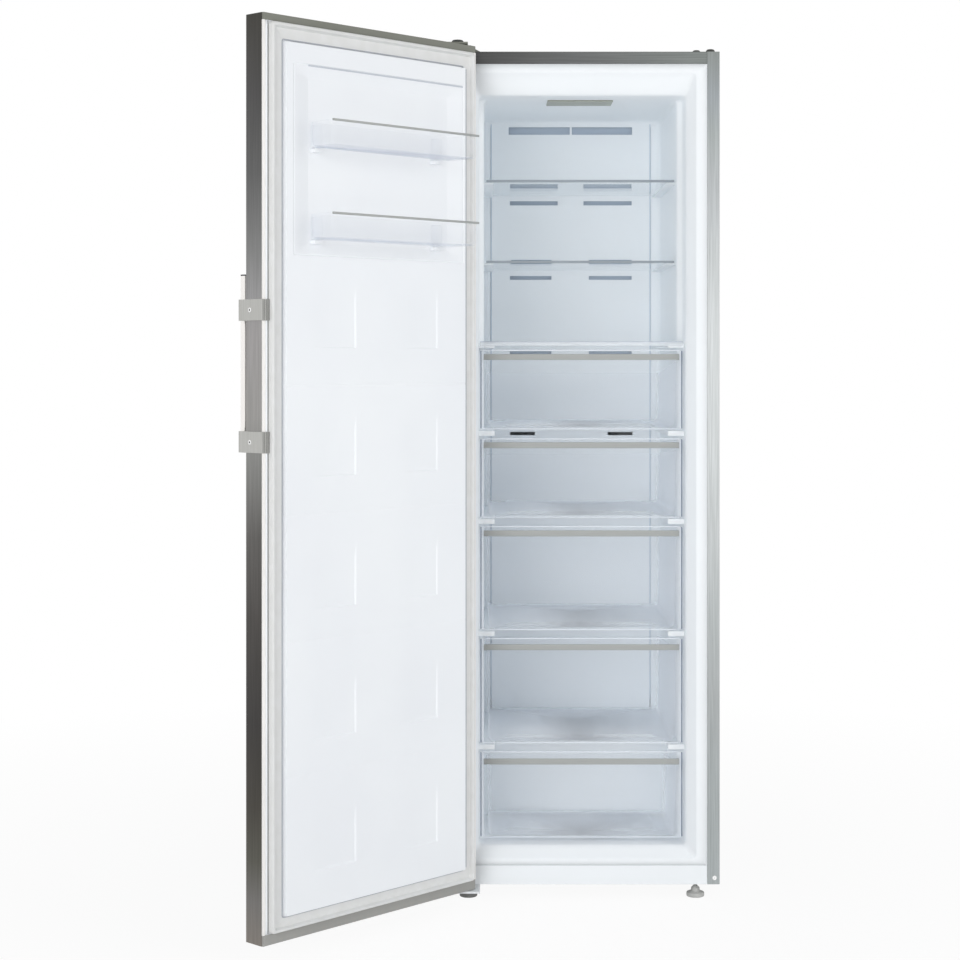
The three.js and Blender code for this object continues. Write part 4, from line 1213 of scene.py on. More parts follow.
@dataclass
class Storage:
    """Glass shelves, the drawers' glass cover and the five clear drawers."""

    shop: Workshop
    front: float = 45.0
    panel: float = 4.0
    panel_half: float = 221.0
    half: float = 209.0
    wall: float = 2.6
    corner: float = 30.0
    # A tub's rim lies lower than the front plate, by this much at its front and at its back.
    front_drop: float = 26.0
    back_drop: float = 54.0
    bar_half: float = 214.0
    bar: float = 13.0
    edge_width: float = 2.4
    bead_width: float = 2.0
    # A tub's walls lean in by this much, and its channel ends between these two insets, where
    # the raised floor begins. Near the front the floor falls to the channel too.
    lean: float = 6.0
    channel: tuple[float, float] = (40.0, 52.0)
    raised_from: float = 86.0
    raised_over: float = 12.0
    raised_by: float = 6.0
    shelf_tops: tuple[float, float] = (1565.0, 1386.0)
    shelf_half: float = 193.5
    shelf_rear: tuple[float, float] = (478.6, 480.4)
    cover_line: tuple[float, float] = (1205.6, 1207.4)
    sizes: tuple[DrawerSize, ...] = (
        DrawerSize(1190, 1014, 1180), DrawerSize(996, 821, 987), DrawerSize(804, 575, 794),
        DrawerSize(559, 327, 545), DrawerSize(311, 121, 295, 292))

    def build(self) -> None:
        """Makes shelves, cover and drawers."""
        for number, top in enumerate(self.shelf_tops, 1):
            self.shop.rounded(f"shelf_glass_{number}", width=0.7)
            self.shop.rounded(f"shelf_trim_{number}", SHELF_TRIM, width=0.8)
            self.shelf_edge(number, top)
        self.shop.rounded("cover_glass", width=0.7)
        self.shop.rounded("cover_trim", COVER_EDGE, width=0.8)
        # A pale grey line along the cover's top front edge paints the shade that the edge shows.
        line = soft_block((-self.panel_half, self.panel_half), (self.front - 0.4, self.front),
                          self.cover_line, Axis.X, 0.15, 0.1)
        self.shop.piece("cover_top_line", line, EDGE_SHADE_PALE, "drawer_cover", slot="clear_plastic")
        for number, size in enumerate(self.sizes, 1):
            self.drawer(number, size)
            self.drawer_bar(number, size.bar_top)

    def shelf_edge(self, number: int, top: float) -> None:
        """A white strip along the rear of a glass shelf, clear of the ledges below it: its ground
        edge, brightened as a painted highlight where it catches light.

        Args:
            number: 1 for the upper.
            top: Height of the glass.
        """
        edge = soft_block((-self.shelf_half, self.shelf_half), self.shelf_rear,
                          (top - 4.1, top + 0.4), Axis.X, 0.8, 0.3)
        self.shop.piece(f"shelf_{number}_rear_edge_highlight", edge, LINER, f"shelf_{number}",
                        slot="white_plastic")

    def drawer(self, number: int, size: DrawerSize) -> None:
        """A drawer: its front plate with dark edge strips and a white bead, which paint shade and a
        highlight, and its tub behind it.

        Args:
            number: 1 for the highest.
            size: Its heights and depth.
        """
        near, far, top, bottom = self.front, self.front + self.panel, size.top, size.bottom
        inner = self.panel_half - self.edge_width
        plate = soft_block((-inner, inner), (near, far), (bottom, top), Axis.Y, 2.0, 0.8)
        self.shop.piece(f"drawer_{number}_front", plate, PLATE, f"drawer_{number}",
                        [f"drawer_{number}"], "clear_plastic", sharp=40)
        # Dark strips at the plate's side edges paint the shade of the gap beside the liner and of
        # the edge seen along its thickness.
        edges = Surface.empty()
        for side in SIDES:
            edges += soft_block(flank(side, inner + 0.1, self.panel_half), (near + 0.2, far - 0.2),
                                (bottom + 3, top - 3), Axis.Z, 0.8, 0.6)
        self.shop.piece(f"drawer_{number}_edges", edges, EDGE_SHADE, f"drawer_{number}",
                        slot="clear_plastic")
        # The bead round the plate is opaque white, a painted highlight along the plate's border.
        outline = Ring(1.0 - inner, inner - 1.0, bottom + 1.0, top - 1.0, 8.0, near)
        bead = [between(outline, outline.grown(-self.bead_width), share, near + rise)
                for share, rise in ((0, 1.0), (0.1, -0.3), (0.5, -0.7), (0.9, -0.3), (1, 1.0))]
        self.shop.piece(f"drawer_{number}_bead", loft(bead, Axis.Y, Ends.JOINED), BEAD_HIGHLIGHT,
                        f"drawer_{number}", slot="clear_plastic")
        self.shop.piece(f"drawer_{number}_tub", self.tub(top, bottom + 1, size.back), TUB,
                        f"drawer_{number}", slot="clear_plastic", sharp=40)

    def tub(self, top: float, floor: float, back: float) -> Surface:
        """A tray that is open to the front plate.

        Its rings follow the tray's plan, drawn in by an inset that grows from the rim to the
        middle. Each ring's height is the wall, then a round foot, a channel and a raised floor
        that also falls to the channel near the front. The outer face repeats them lower.

        Args:
            top: Height of the front plate's upper edge.
            floor: Height of the tray's underside.
            back: Outer face of the rear wall.

        Returns:
            The closed tray.
        """
        near, half, wall = self.front + self.panel, self.half, self.wall
        # Radii of the foot inside and outside, and heights of the channel and of its underside.
        foot, outer_foot, base, underside = 12.0, 13.0, 5.0, 2.0
        quarter = np.linspace(0, np.pi / 2, 5)
        swing, drop = 1 - np.cos(quarter), 1 - np.sin(quarter)
        inner_inset = np.concatenate([[wall * 0.8, wall, self.lean], self.lean + foot * swing,
                                      [*self.channel, half]])
        inner_low = np.concatenate([[0, 0, base + foot], base + foot * drop, [base] * 3])
        raised = np.concatenate([np.zeros(8), [0, 1, 1]])
        rim = np.concatenate([[1.0, 1.0], np.zeros(9)])
        outer_lean = self.lean - wall
        outer_inset = np.concatenate([[wall * 0.2, 0.0, outer_lean],
                                      outer_lean + outer_foot * swing, [*self.channel, half]])
        outer_low = np.concatenate([[0, 0, 14.4], underside + outer_foot * drop,
                                    [underside] * 3])
        rim_dip = np.array([0.0, -0.8])
        inset = np.concatenate([inner_inset[::-1], outer_inset])[:, None]
        low = np.concatenate([inner_low[::-1], outer_low])[:, None]
        lift = np.concatenate([raised[::-1], raised])[:, None]
        is_rim = np.concatenate([rim[::-1], rim])[:, None]
        dip = np.concatenate([np.zeros(9), rim_dip[::-1], rim_dip, np.zeros(9)])[:, None]
        bend = np.maximum(self.corner, inset)
        radius = np.maximum(self.corner - inset, 0.0)
        stops = np.array([near, 84, 88, 92, 96, 100, 160, 240, 320, 400, 470])[None, :]
        along = np.minimum(stops, back - bend)
        turn = np.linspace(0, np.pi / 2, 7)[None, :]
        left_x = np.concatenate([np.broadcast_to(-(half - inset), along.shape),
                                 -(half - bend) - radius * np.cos(turn)], axis=1)
        left_y = np.concatenate([along, back - bend + radius * np.sin(turn)], axis=1)
        x = np.concatenate([left_x, -left_x[:, ::-1]], axis=1)
        y = np.concatenate([left_y, left_y[:, ::-1]], axis=1)
        fall = self.front_drop + (self.back_drop - self.front_drop) * (y - near) / (back - near)
        height = eased((y - self.raised_from) / self.raised_over) * self.raised_by
        z = np.where(is_rim > 0, top - fall + dip, floor + low + lift * height)
        return woven(np.stack([x, y, z], axis=2), along=True) + self.tub_ends(x, y, z)

    @staticmethod
    def tub_ends(x: Array, y: Array, z: Array) -> Surface:
        """Closes the two front ends of a tray between its inner and outer rings.

        Args:
            x: X of each ring's points.
            y: Y of each ring's points.
            z: Z of each ring's points.

        Returns:
            Strips of quads at both ends.
        """
        rows, columns = x.shape
        grid = np.stack([x, y, z], axis=2)[:, [0, columns - 1]]
        i = np.arange(rows // 2 - 1)
        strips = np.stack([i, i + 1, rows - 2 - i, rows - 1 - i], axis=1)
        faces = [[int(k) * 2 + side for k in strip] for side in (0, 1) for strip in strips]
        return Surface(grid.reshape(-1, 3), faces)

    def drawer_bar(self, number: int, top: float) -> None:
        """The silver strip across a drawer's front.

        Args:
            number: 1 for the highest.
            top: Height of its upper edge.
        """
        strip = soft_block((-self.bar_half, self.bar_half), (self.front - 3, self.front - 0.2),
                           (top - self.bar, top), Axis.X, 1.3, 0.8)
        self.shop.piece(f"drawer_{number}_strip", strip, BAR_FOIL, f"drawer_{number}",
                        [f"drawer_bar_{number}"], "silver_trim")


# ---- the door --------------------------------------------------------------------------------

# Heights of the two bins' upper edges, which the door's bosses and the bins share.
BIN_TOPS = (1634.6, 1453.8)


@dataclass
class Door:
    """Door skin, caps, moulded liner and seal, all drawn closed."""

    shop: Workshop
    half: float = 297.5
    back: float = -14.3
    front: float = -65.2
    bottom: float = 53.3
    top: float = 1825.7
    sheet: float = 1.2
    # The skin reaches past the liner at its bottom and top, and its hem lies in front of the
    # liner's border, under the liner's trimmed rim and the seal's root.
    skin_fold: float = 2.1
    skin_past: tuple[float, float] = (21.2, 14.2)
    hem: float = 3.8
    hem_width: float = 4.6
    rim_from: float = 290.4
    root: tuple[float, float] = (283.1, 285.4)
    # The raised panel climbs from its base to its ridge, and the pocket falls to its floor. Both
    # are moved towards the hinge by their shift.
    base_half: float = 252.15
    base: tuple[float, float] = (81.0, 1789.5)
    ridge_half: float = 250.15
    ridge: tuple[float, float] = (83.0, 1787.5)
    ridge_shift: float = 4.15
    ridge_height: float = 11.3
    pocket_half: float = 239.5
    pocket: tuple[float, float] = (1372.0, 1749.5)
    pocket_floor_half: float = 194.5
    pocket_floor: tuple[float, float] = (1398.0, 1721.0)
    pocket_depth: float = 8.0
    pocket_shift: float = 10.5
    # Where the grey strip lies that paints the shade of the pocket's upper fold.
    pocket_crease_shade_x: tuple[float, float] = (-246.0, 190.0)
    pocket_crease_shade_z: tuple[float, float] = (1744.8, 1747.8)
    # Depth of the groove round the pocket, then height and depth of each crease over the panel.
    groove: float = 1.3
    creases: tuple[tuple[float, float], ...] = (
        (1116.4, 0.9), (862.7, 0.4), (614.8, 0.35), (351.4, 0.3))
    crease_width: float = 2.2
    pads_x: tuple[tuple[float, float], ...] = ((61.5, 184.4), (-170.9, -57.3))
    pads_z: tuple[float, ...] = (1251.1, 996.0, 734.9, 477.8, 218.7)
    pad_half: float = 61.3
    pad_depth: float = 2.0
    # Distance from the middle, width and depth of the groove beside the rim.
    rim_groove: tuple[float, float, float] = (290.0, 0.9, 1.6)
    boss_x: tuple[float, float] = (156.0, 178.0)
    boss_below: tuple[float, float] = (58.3, 50.3)
    seal_outer: Ring = Ring(-283, 283, 54.5, 1824, 7.0, 0)
    seal_inner: Ring = Ring(-257.5, 249.5, 81, 1791, 4.0, 0)
    # Each point of the seal's section is a share of the way in from the rim and a depth.
    seal_profile: tuple[tuple[float, float], ...] = (
        (0, -14.0), (0, -9.5), (0.01, -5.0), (0.04, -2.6), (0.08, -1.7), (0.13, -1.5),
        (0.18, -1.7), (0.22, -2.6), (0.25, -5.0), (0.27, -8.5), (0.32, -10.6), (0.9, -10.8),
        (0.96, -11.6), (1.0, -12.8), (1.0, -14.0))
    outline_outer: Ring = Ring(-256.4, 252.2, 79.2, 1793.0, 5.0, 0)
    outline_inner: Ring = Ring(-254.6, 250.4, 81, 1791.2, 4.0, 0)

    def build(self) -> None:
        """Makes every door piece."""
        self.skin()
        self.shop.rounded("door_cap_top", width=1.0)
        self.shop.rounded("door_cap_bottom", CAP_LOW, width=1.0)
        self.liner()
        self.seal()

    def skin(self) -> None:
        """Steel sheet over the front, folded round both long edges and hemmed behind them."""
        hem, inner = self.back - self.hem, self.half - self.hem_width
        line = filleted([(inner, hem), (self.half, hem), (self.half, self.front),
                         (-self.half, self.front), (-self.half, hem), (-inner, hem)],
                        self.skin_fold)
        below, above = self.skin_past
        skin = folded_sheet(line, -self.sheet, self.bottom - below, self.top + above)
        self.shop.piece("door_skin_folded", skin, DOOR_STEEL, "door", ["door_skin"],
                        "brushed_steel", on_door=True, sharp=50)
        self.rims(hem)

    def rims(self, hem: float) -> None:
        """The liner's trimmed rims over the hem, and a dark strip at the seal's root beside them
        that paints its shade line.

        Args:
            hem: Depth of the hem.
        """
        rims, root_shades = Surface.empty(), Surface.empty()
        for side in SIDES:
            rims += soft_block(flank(side, self.rim_from, self.half - 0.2),
                               (hem + 0.1, self.back + 0.4), (self.bottom, self.top), Axis.Z, 1.0,
                               0.2)
            root_shades += soft_block(flank(side, *self.root), (self.back - 0.4, self.back + 0.3),
                                (self.bottom + 1, self.top - 1), Axis.Z, 0.2, 0.1)
        self.shop.piece("door_liner_rims", rims, RIM, "door", slot="white_plastic",
                        on_door=True)
        self.shop.piece("door_seal_roots", root_shades, SEAL_ROOT_SHADE, "door", slot="seal", on_door=True)

    def ramp(self, x: Array, z: Array, outer_half: float, outer: tuple[float, float],
             inner_half: float, inner: tuple[float, float], blend: float = 0.05) -> Array:
        """How far a point is up the slopes between two rectangles, from 0 to 1.

        It is the soft minimum of the shares climbed from each of the four sides, which rounds the
        corners where two slopes meet: minus the blend times the logarithm of the sum of the
        exponentials of minus each share over the blend.

        Args:
            x: Distances across the door.
            z: Heights.
            outer_half: Half width where the slopes start.
            outer: Heights where they start.
            inner_half: Half width where they end.
            inner: Heights where they end.
            blend: Softness of the minimum.

        Returns:
            The share for each point.
        """
        sides = np.stack([(outer_half - np.abs(x)) / (outer_half - inner_half),
                          (z - outer[0]) / (inner[0] - outer[0]),
                          (outer[1] - z) / (outer[1] - inner[1])])
        soft = -blend * np.log(np.exp(-np.clip(sides, -2, 5) / blend).sum(0))
        return np.clip(soft, 0, 1)

    def relief(self, x: Array, z: Array) -> Array:
        """How far the moulded inside stands from the closed door's front plane.

        It is the border's depth, plus the raised panel, minus the pocket for the bins with the
        groove round it, minus the shallow creases, minus the sunk pads, minus the groove beside
        the rim. Grooves and creases are bell curves. A pad is the least of four ramps: short ones
        at its hinge side and at its bottom, long ones at the other two.

        Args:
            x: Distances across the door.
            z: Heights.

        Returns:
            The Y of each point.
        """
        rise = self.ramp(x + self.ridge_shift, z, self.base_half, self.base, self.ridge_half,
                         self.ridge)
        sunk = self.ramp(x + self.pocket_shift, z, self.pocket_half, self.pocket,
                         self.pocket_floor_half, self.pocket_floor)
        height = self.back + self.ridge_height * rise - self.pocket_depth * sunk
        height -= self.groove * np.exp(-(((sunk - 0.05) / 0.04) ** 2)) * (sunk > 0)
        for crease, depth in self.creases:
            height -= depth * np.exp(-(((z - crease) / self.crease_width) ** 2)) * rise
        for left, right in self.pads_x:
            for middle in self.pads_z:
                low, high = middle - self.pad_half, middle + self.pad_half
                ramps = ((x - left) / 4.5, (right - x) / 60, (z - low) / 3, (high - z) / 30)
                height -= self.pad_depth * eased(np.minimum.reduce(ramps))
        place, width, depth = self.rim_groove
        return height - depth * np.exp(-(((np.abs(x) - place) / width) ** 2))

    def liner(self) -> None:
        """The moulded inside over a grid, with bosses for the bins, and the foam behind it."""
        reach = self.half - self.sheet - 0.3
        marks_x = [edge for pad in self.pads_x for edge in (pad[0], pad[0] + 4)]
        marks_z = [z - self.pad_half for z in self.pads_z] + [z for z, _ in self.creases]
        x = graded(-reach, reach, 12, [*marks_x, -290, -255, -249, -205, 184, 228, 247, 290], 5)
        z = graded(self.bottom, self.top, 14, [*marks_z, *self.base, *self.ridge, *self.pocket,
                                               *self.pocket_floor], 6)
        across, up = np.meshgrid(x, z)
        height = self.relief(across, up)
        face = woven(np.stack([across, height, up], axis=2))
        self.shop.piece("door_liner_moulding", face, DOOR_LINER, "door", ["door_liner"],
                        "white_plastic", on_door=True, sheet=1.6, sharp=50, inverted=True)
        self.bosses()
        inside = np.clip(across, -reach + 0.4, reach - 0.4)
        front = np.stack([inside, height - 3.4, up], axis=2)
        rear = np.stack([inside, np.full_like(up, self.front + 1.6), up], axis=2)
        self.shop.piece("door_foam_block", self.slab(front, rear), BY_SLOT["foam"], "door",
                        ["door_foam"], "foam", on_door=True)

    def bosses(self) -> None:
        """A grey strip that paints the shade along the pocket's upper fold, and the bosses that
        carry the bins.
        """
        panel = self.back + self.ridge_height
        floor = panel - self.pocket_depth
        bosses = Surface.empty()
        for top in BIN_TOPS:
            low, high = (top - below for below in self.boss_below)
            for side in SIDES:
                bosses += soft_block(flank(side, *self.boss_x), (floor - 1, floor + 13),
                                     (low, high), Axis.Y, 2.0, 1.5)
        # A grey strip along the pocket's upper fold paints its shade.
        crease = soft_block(self.pocket_crease_shade_x, (panel - 0.3, panel + 0.2),
                            self.pocket_crease_shade_z, Axis.X, 0.2, 0.2)
        self.shop.piece("door_pocket_crease", crease, CREASE_SHADE, "door", slot="white_plastic",
                        on_door=True)
        self.shop.piece("door_liner_bosses", bosses, DOOR_LINER, "door", slot="white_plastic",
                        on_door=True)

    @staticmethod
    def slab(front: Array, rear: Array) -> Surface:
        """Closes the space between two grids with a strip along each of the four borders.

        Args:
            front: Points of one face.
            rear: Points of the other.

        Returns:
            The closed block.
        """
        rows, columns = front.shape[:2]
        body = woven(front) + woven(rear)
        index = np.arange(rows * columns).reshape(rows, columns)
        rim = np.concatenate([index[0, :-1], index[:-1, -1], index[-1, :0:-1], index[:0:-1, 0]])
        after = np.roll(rim, -1)
        shift = rows * columns
        body.faces += np.stack([rim, after, after + shift, rim + shift], axis=1).tolist()
        return body

    def seal(self) -> None:
        """The seal: a bulge towards the rim, a low flat and a painted shade line towards the panel.
        """
        rings = [between(self.seal_outer, self.seal_inner, share, y)
                 for share, y in self.seal_profile]
        line = [between(self.outline_outer, self.outline_inner, share, y)
                for share, y in ((0, -12.5), (0, -10.3), (1, -10.3), (1, -12.5))]
        gap = loft(line, Axis.Y, Ends.JOINED)
        gap += soft_block((-257.0, -254.8), (-3.7, -2.9), (88, 1785), Axis.Z, 0.3, 0.2)
        self.shop.piece("door_panel_outline", gap, OUTLINE_SHADE, "door", slot="seal", on_door=True)
        self.shop.piece("door_seal", loft(rings, Axis.Y, Ends.JOINED), BY_SLOT["seal"], "door",
                        ["door_gasket"], "seal", on_door=True, sharp=45)


@dataclass
class DoorBins:
    """Two clear bins with a drawn-in foot and a silver rail, drawn on the closed door."""

    shop: Workshop
    height: float = 50.0
    near: float = 2.0
    far: float = 82.0
    half: float = 204.0
    wall: float = 2.4
    corner: float = 7.0
    # How much a bin's half width is drawn in at the door, and the ears that hang on the bosses.
    taper: float = 14.0
    ear: tuple[float, float] = (158.0, 177.0)
    ear_back: float = -10.6
    rail: float = 4.5

    def build(self) -> None:
        """Makes both bins."""
        for number, top in enumerate(BIN_TOPS, 1):
            self.bin(number, top)

    def bin(self, number: int, top: float) -> None:
        """One bin and the silver rail on its front.

        Its rings go down inside and up outside. Its width is then multiplied by one minus a share
        that grows towards the door, which draws it in there.

        Args:
            number: 1 for the upper.
            top: Height of its upper edge.
        """
        low, high, near, far, wall = top - self.height, top - 0.5, self.near, self.far, self.wall
        outside = Ring(-self.half, self.half, near, far, self.corner, high)
        inside = outside.grown(-wall)
        rings = [replace(inside.grown(-7), depth=low + wall),
                 replace(inside.grown(-3.0), depth=low + 2 + wall),
                 replace(inside.grown(-1.2), depth=low + 9), replace(inside, depth=high),
                 outside, replace(outside.grown(-1.2), depth=low + 8),
                 replace(outside.grown(-3.0), depth=low + 2), replace(outside.grown(-7), depth=low)]
        tray = loft(rings, Axis.Z, Ends.CAPPED, 5)
        tray.points[:, 0] *= 1 - self.taper / self.half * (far - tray.points[:, 1]) / (far - near)
        for side in SIDES:
            tray += soft_block(flank(side, *self.ear), (self.ear_back, near + 1.2),
                               (low + 0.1, top - 5), Axis.Y, 3.0, 0.6)
        self.shop.piece(f"door_bin_{number}_moulding", tray, CLEAR, f"door_bin_{number}",
                        [f"door_bin_{number}"], "clear_plastic", on_door=True, sharp=40)
        rail = soft_block((-self.half, self.half), (far + 0.2, far + 4), (top - self.rail, top),
                          Axis.X, 1.4, 0.8)
        self.shop.piece(f"door_bin_{number}_rail", rail, BAR_FOIL, f"door_bin_{number}",
                        [f"bin_rail_{number}"], "silver_trim", on_door=True)


@dataclass
class Handle:
    """The bar with its end caps, and the two clamps that hold it on the door's free edge."""

    shop: Workshop
    x: float = 279.3
    y: float = -89.5
    half_x: float = 6.7
    half_y: float = 7.3
    low: float = 988.0
    high: float = 1334.5
    cap: float = 2.4
    clamps: tuple[tuple[str, float], ...] = (("upper", 1264.0), ("lower", 1007.0))
    clamp_half: float = 20.4
    screw_x: float = 302.0
    screw_y: float = -48.0
    ribs: tuple[float, ...] = (287.0, 291.0, 295.0, 299.0)

    def build(self) -> None:
        """Makes the bar, its caps, the clamps and a cap screw in each."""
        span_x = (self.x - self.half_x, self.x + self.half_x)
        span_y = (self.y - self.half_y, self.y + self.half_y)
        bar = soft_block(span_x, span_y, (self.low + 2.5, self.high - 2.5), Axis.Z, 3.2, 0.2, 6)
        self.shop.piece("handle_tube", bar, TUBE, "door", ["handle_bar"], "brushed_steel",
                        on_door=True)
        caps = Surface.empty()
        for span_z in ((self.low, self.low + self.cap), (self.high - self.cap, self.high)):
            caps += soft_block(span_x, span_y, span_z, Axis.Z, 3.0, 0.8, 6)
        self.shop.piece("handle_end_caps", caps, CHARCOAL_AND_SLIT_SHADE, "door", slot="dark_plastic",
                        on_door=True)
        for name, z in self.clamps:
            self.shop.rounded(f"handle_bracket_{name}", CLAMP_STEEL, width=0.7)
            self.lip(name, z)
            screw = turned([(4.6, 0), (4.6, 0.3), (4.2, 0.6), (2.2, 0.7), (2.0, -0.6), (0.5, -0.7)],
                           (self.screw_x, self.screw_y, z), Axis.X, 32)
            self.shop.piece(f"handle_screw_{name}", screw, BRIGHT_ZINC, "door",
                            slot="galvanised", on_door=True)

    def lip(self, name: str, z: float) -> None:
        """Ribs on a clamp's inner lip, and a dark block at the lip's end that paints the shadow
        between the lip and the seal.

        Args:
            name: Which clamp.
            z: Height of the clamp's middle.
        """
        half, short = self.clamp_half, self.clamp_half - 0.2
        # The first block, at the lip's end, is dark plastic that paints the shadow there.
        ribs = soft_block((283.1, 284.1), (-13.8, -10.8), (z - half, z + half), Axis.Z, 0.3, 0.2)
        for x in self.ribs:
            ribs += soft_block((x, x + 1.0), (-11.0, -10.3), (z - short, z + short), Axis.Z, 0.2,
                               0.1)
        self.shop.piece(f"handle_lip_{name}", ribs, BY_SLOT["dark_plastic"], "door",
                        slot="dark_plastic", on_door=True)


# ---- hinges, plugs and feet ------------------------------------------------------------------


@dataclass
class Fittings:
    """Hinge brackets and their cover, plugs, levelling feet, rollers."""

    shop: Workshop
    foot_x: float = 247.0
    foot_y: float = 24.0

    def build(self) -> None:
        """Makes the fittings."""
        self.shop.rounded("hinge_bracket_bottom", BY_SLOT["white_sheet"], width=0.8)
        for node, width in (("hole_plug_inner", 0.8), ("hole_plug_outer", 0.8),
                            ("roller_fork_left", 0.4), ("roller_fork_right", 0.4),
                            ("compressor", 1.5)):
            self.shop.rounded(node, width=width)
        self.shop.rounded("hinge_bracket_top", BY_SLOT["end_cap"], width=0.8)
        self.shop.rounded("hinge_cover", BY_SLOT["dark_plastic"], width=0.6)
        self.feet()

    def feet(self) -> None:
        """Moulded feet: a fluted pad, a cone and a threaded stem."""
        pad = [(16.0, 0.0), (17.8, 0.0), (19.0, 0.8), (19.3, 2.2), (19.3, 7.4), (18.7, 8.8),
               (17.0, 9.7), (12.5, 10.8), (10.6, 12.4), (9.6, 14.0), (9.2, 18.2), (8.4, 19.6),
               (6.6, 20.6), (5.6, 22.4), (4.2, 23.0)]
        thread = [(4.0 if i % 2 else 3.3, 23.2 + 0.62 * i) for i in range(12)]
        # The right foot gets a lighter copy of the grey, as painted light; the left one keeps the
        # slot's grey.
        for side, name, finish in ((-1, "left", BY_SLOT["grey_plastic"]), (1, "right", PAINTED_LIGHT_FOOT)):
            centre = (side * self.foot_x, self.foot_y, 0.0)
            foot = turned([*pad, *thread, (3.6, 30.6)], centre)
            self.shop.piece(f"foot_{name}_turned", foot, finish, f"foot_{name}",
                            [f"foot_{name}"], "grey_plastic")


# ---- studio ----------------------------------------------------------------------------------


@dataclass(frozen=True)
class Softbox:
    """A soft area lamp: its place and target in cabinet millimetres, its size and its watts."""

    name: str
    place: tuple[float, float, float]
    target: tuple[float, float, float]
    size: tuple[float, float]
    watts: float


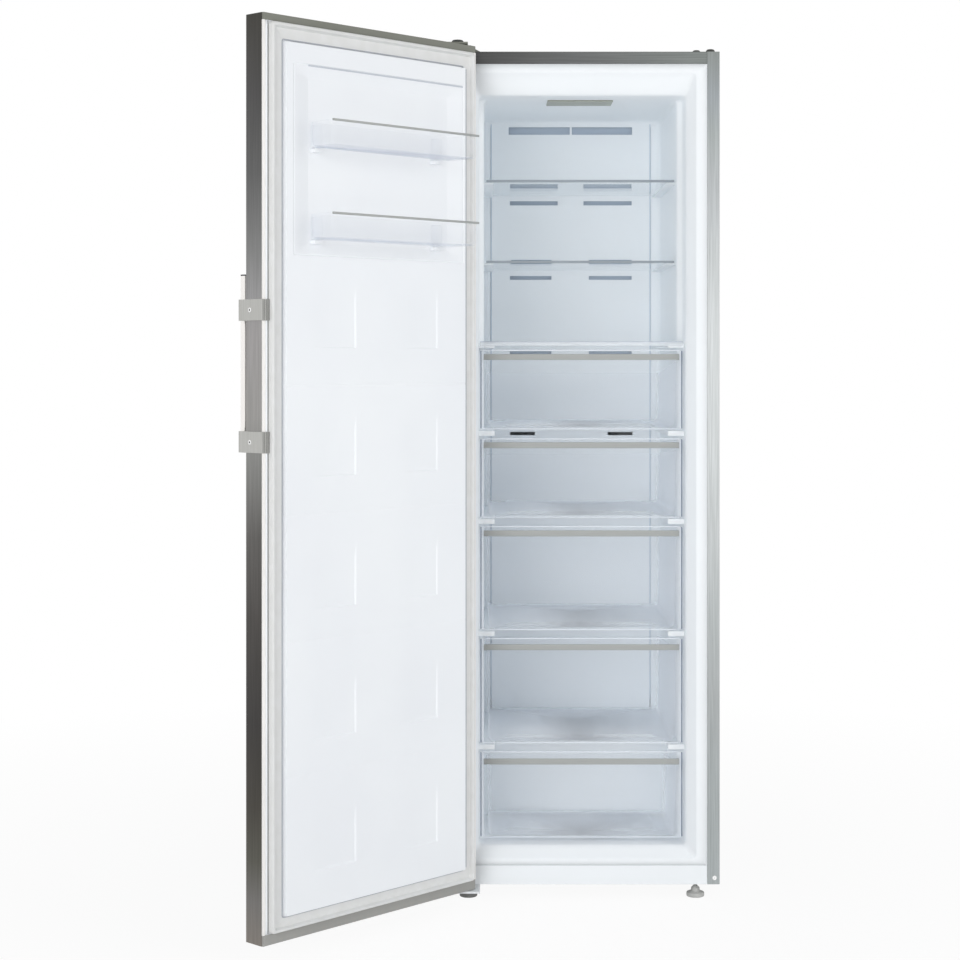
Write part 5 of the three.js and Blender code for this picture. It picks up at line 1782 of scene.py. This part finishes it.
@dataclass
class Studio:
    """Camera, lamps, floor and background."""

    datum: Datum
    # Limits on clear walls in a row and on bounces between white walls, and the world's light.
    clear_walls: int = 48
    white_walls: int = 16
    sky: float = 0.42
    lamps: tuple[Softbox, ...] = (
        Softbox("right_softbox", (3700, -2700, 2500), (0, 0, 1000), (2600, 2600), 69),
        Softbox("front_softbox", (-100, -4700, 1300), (0, 300, 900), (3000, 2200), 6),
        Softbox("left_softbox", (-2100, -4400, 1500), (0, 0, 1000), (2400, 2400), 72),
        Softbox("low_softbox", (600, -3700, 300), (0, 300, 1300), (3200, 500), 10))

    def build(self) -> None:
        """Sets the whole studio up.

        A look through all the drawers meets dozens of clear walls, and light reaches the white
        room's rear after many bounces, so both kinds of bounce have a high limit.
        """
        self.camera()
        self.world()
        self.floor()
        for softbox in self.lamps:
            self.lamp(softbox)
        scene = bpy.context.scene
        scene.view_settings.view_transform = "Standard"
        scene.cycles.transparent_max_bounces = self.clear_walls
        scene.cycles.max_bounces = scene.cycles.diffuse_bounces = self.white_walls

    def camera(self) -> None:
        """The camera at the photograph's place, level, with its picture shifted down."""
        data = bpy.data.cameras.new("camera")
        data.lens, data.sensor_width, data.shift_y = VIEW.lens, VIEW.sensor, VIEW.shift
        data.clip_start, data.clip_end = 0.05, 60.0
        camera = bpy.data.objects.new("camera", data)
        camera.location = self.datum.cabinet(np.array([VIEW.eye]))[0].tolist()
        camera.rotation_euler = (math.radians(90), 0, 0)
        bpy.context.scene.collection.objects.link(camera)
        bpy.context.scene.camera = camera

    def lamp(self, softbox: Softbox) -> None:
        """Adds a soft area lamp that mirrors don't show.

        Args:
            softbox: What it is like.
        """
        data = bpy.data.lights.new(softbox.name, "AREA")
        data.shape, data.energy = "RECTANGLE", softbox.watts
        data.size, data.size_y = softbox.size[0] * MM, softbox.size[1] * MM
        lamp = bpy.data.objects.new(softbox.name, data)
        start, end = self.datum.cabinet(np.array([softbox.place, softbox.target], float))
        lamp.location = start.tolist()
        lamp.visible_glossy = lamp.visible_camera = False
        aim = end - start
        lamp.rotation_euler = (math.atan2(math.hypot(aim[0], aim[1]), -aim[2]), 0,
                               math.atan2(-aim[0], aim[1]))
        bpy.context.scene.collection.objects.link(lamp)

    def world(self) -> None:
        """White for the eye, for mirrors and through glass; a softer level as light."""
        world = bpy.data.worlds.new("studio")
        world.use_nodes = True
        tree = world.node_tree
        tree.nodes.clear()
        path = add_node(tree, "ShaderNodeLightPath").outputs
        mirrored = add_node(tree, "ShaderNodeMath", {"operation": "MAXIMUM"}, {
            0: path["Is Glossy Ray"], 1: path["Is Transmission Ray"]}).outputs[0]
        seen = add_node(tree, "ShaderNodeMath", {"operation": "MAXIMUM"}, {
            0: path["Is Camera Ray"], 1: mirrored}).outputs[0]
        light = add_node(tree, "ShaderNodeBackground", sockets={
            "Color": linear("#f4f7fa"), "Strength": self.sky})
        white = add_node(tree, "ShaderNodeBackground", sockets={
            "Color": (1, 1, 1, 1), "Strength": 1.0})
        mix = add_node(tree, "ShaderNodeMixShader", sockets={
            0: seen, 1: light.outputs[0], 2: white.outputs[0]})
        add_node(tree, "ShaderNodeOutputWorld", sockets={"Surface": mix.outputs[0]})
        bpy.context.scene.world = world

    def floor(self) -> None:
        """A wide plain floor that keeps a faint shadow and fades into the white background.

        The share of plain white grows with the distance from the freezer, for what the camera,
        mirrors and glass see; the light that falls on the freezer comes off the paint alone.
        """
        side, fade, whiteness = 14000.0, (0.7, 2.6), (0.93, 1.0)
        corners = np.array([[-side, -side, 0], [side, -side, 0], [side, side, 0], [-side, side, 0]])
        mesh = bpy.data.meshes.new("studio_floor")
        mesh.from_pydata(self.datum.cabinet(corners), [], [[0, 1, 2, 3]])
        paint = Shader("matt_white_floor_paint")
        clouds = paint.add("ShaderNodeMapRange", sockets={"Value": paint.grain(400.0), **USUAL})
        tone = paint.add("ShaderNodeMix", COLOURS, {
            0: clouds.outputs[0], 6: linear("#f2f2f2"), 7: linear("#eeeeee")})
        paint.set(Base_Color=tone.outputs[2], Roughness=0.9, Specular=0.1)
        path = paint.add("ShaderNodeLightPath").outputs
        mirrored = paint.add("ShaderNodeMath", {"operation": "MAXIMUM"}, {
            0: path["Is Glossy Ray"], 1: path["Is Transmission Ray"]}).outputs[0]
        seen = paint.add("ShaderNodeMath", {"operation": "MAXIMUM"}, {
            0: path["Is Camera Ray"], 1: mirrored}).outputs[0]
        away = paint.add("ShaderNodeVectorMath", {"operation": "LENGTH"}, {
            0: paint.place}).outputs["Value"]
        faded = paint.add("ShaderNodeMapRange", sockets={
            "Value": away, "From Min": fade[0], "From Max": fade[1],
            "To Min": whiteness[0], "To Max": whiteness[1]})
        share = paint.add("ShaderNodeMath", {"operation": "MULTIPLY"}, {
            0: seen, 1: faded.outputs[0]}).outputs[0]
        glow = paint.add("ShaderNodeEmission", sockets={"Color": (1, 1, 1, 1), "Strength": 1.0})
        mix = paint.add("ShaderNodeMixShader", sockets={
            0: share, 1: paint.surface.outputs[0], 2: glow.outputs[0]})
        paint.tree.links.new(mix.outputs[0], paint.output.inputs["Surface"])
        mesh.materials.append(paint.material)
        floor = bpy.data.objects.new("studio_floor", mesh)
        bpy.context.scene.collection.objects.link(floor)


# ---- the whole freezer -----------------------------------------------------------------------


def main() -> None:
    """Loads the frame, builds and dresses the freezer, and sets up the studio."""
    logging.basicConfig(level=logging.INFO, format="%(name)s: %(message)s")
    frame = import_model()
    shop = Workshop(Datum.of(frame), frame)
    for assembly in (Cabinet, Storage, Door, DoorBins, Handle, Fittings):
        assembly(shop).build()
    shop.dress_frame()
    Studio(shop.datum).build()
    log.info("%d pieces made", len(shop.made))


if __name__ == "__main__":
    main()
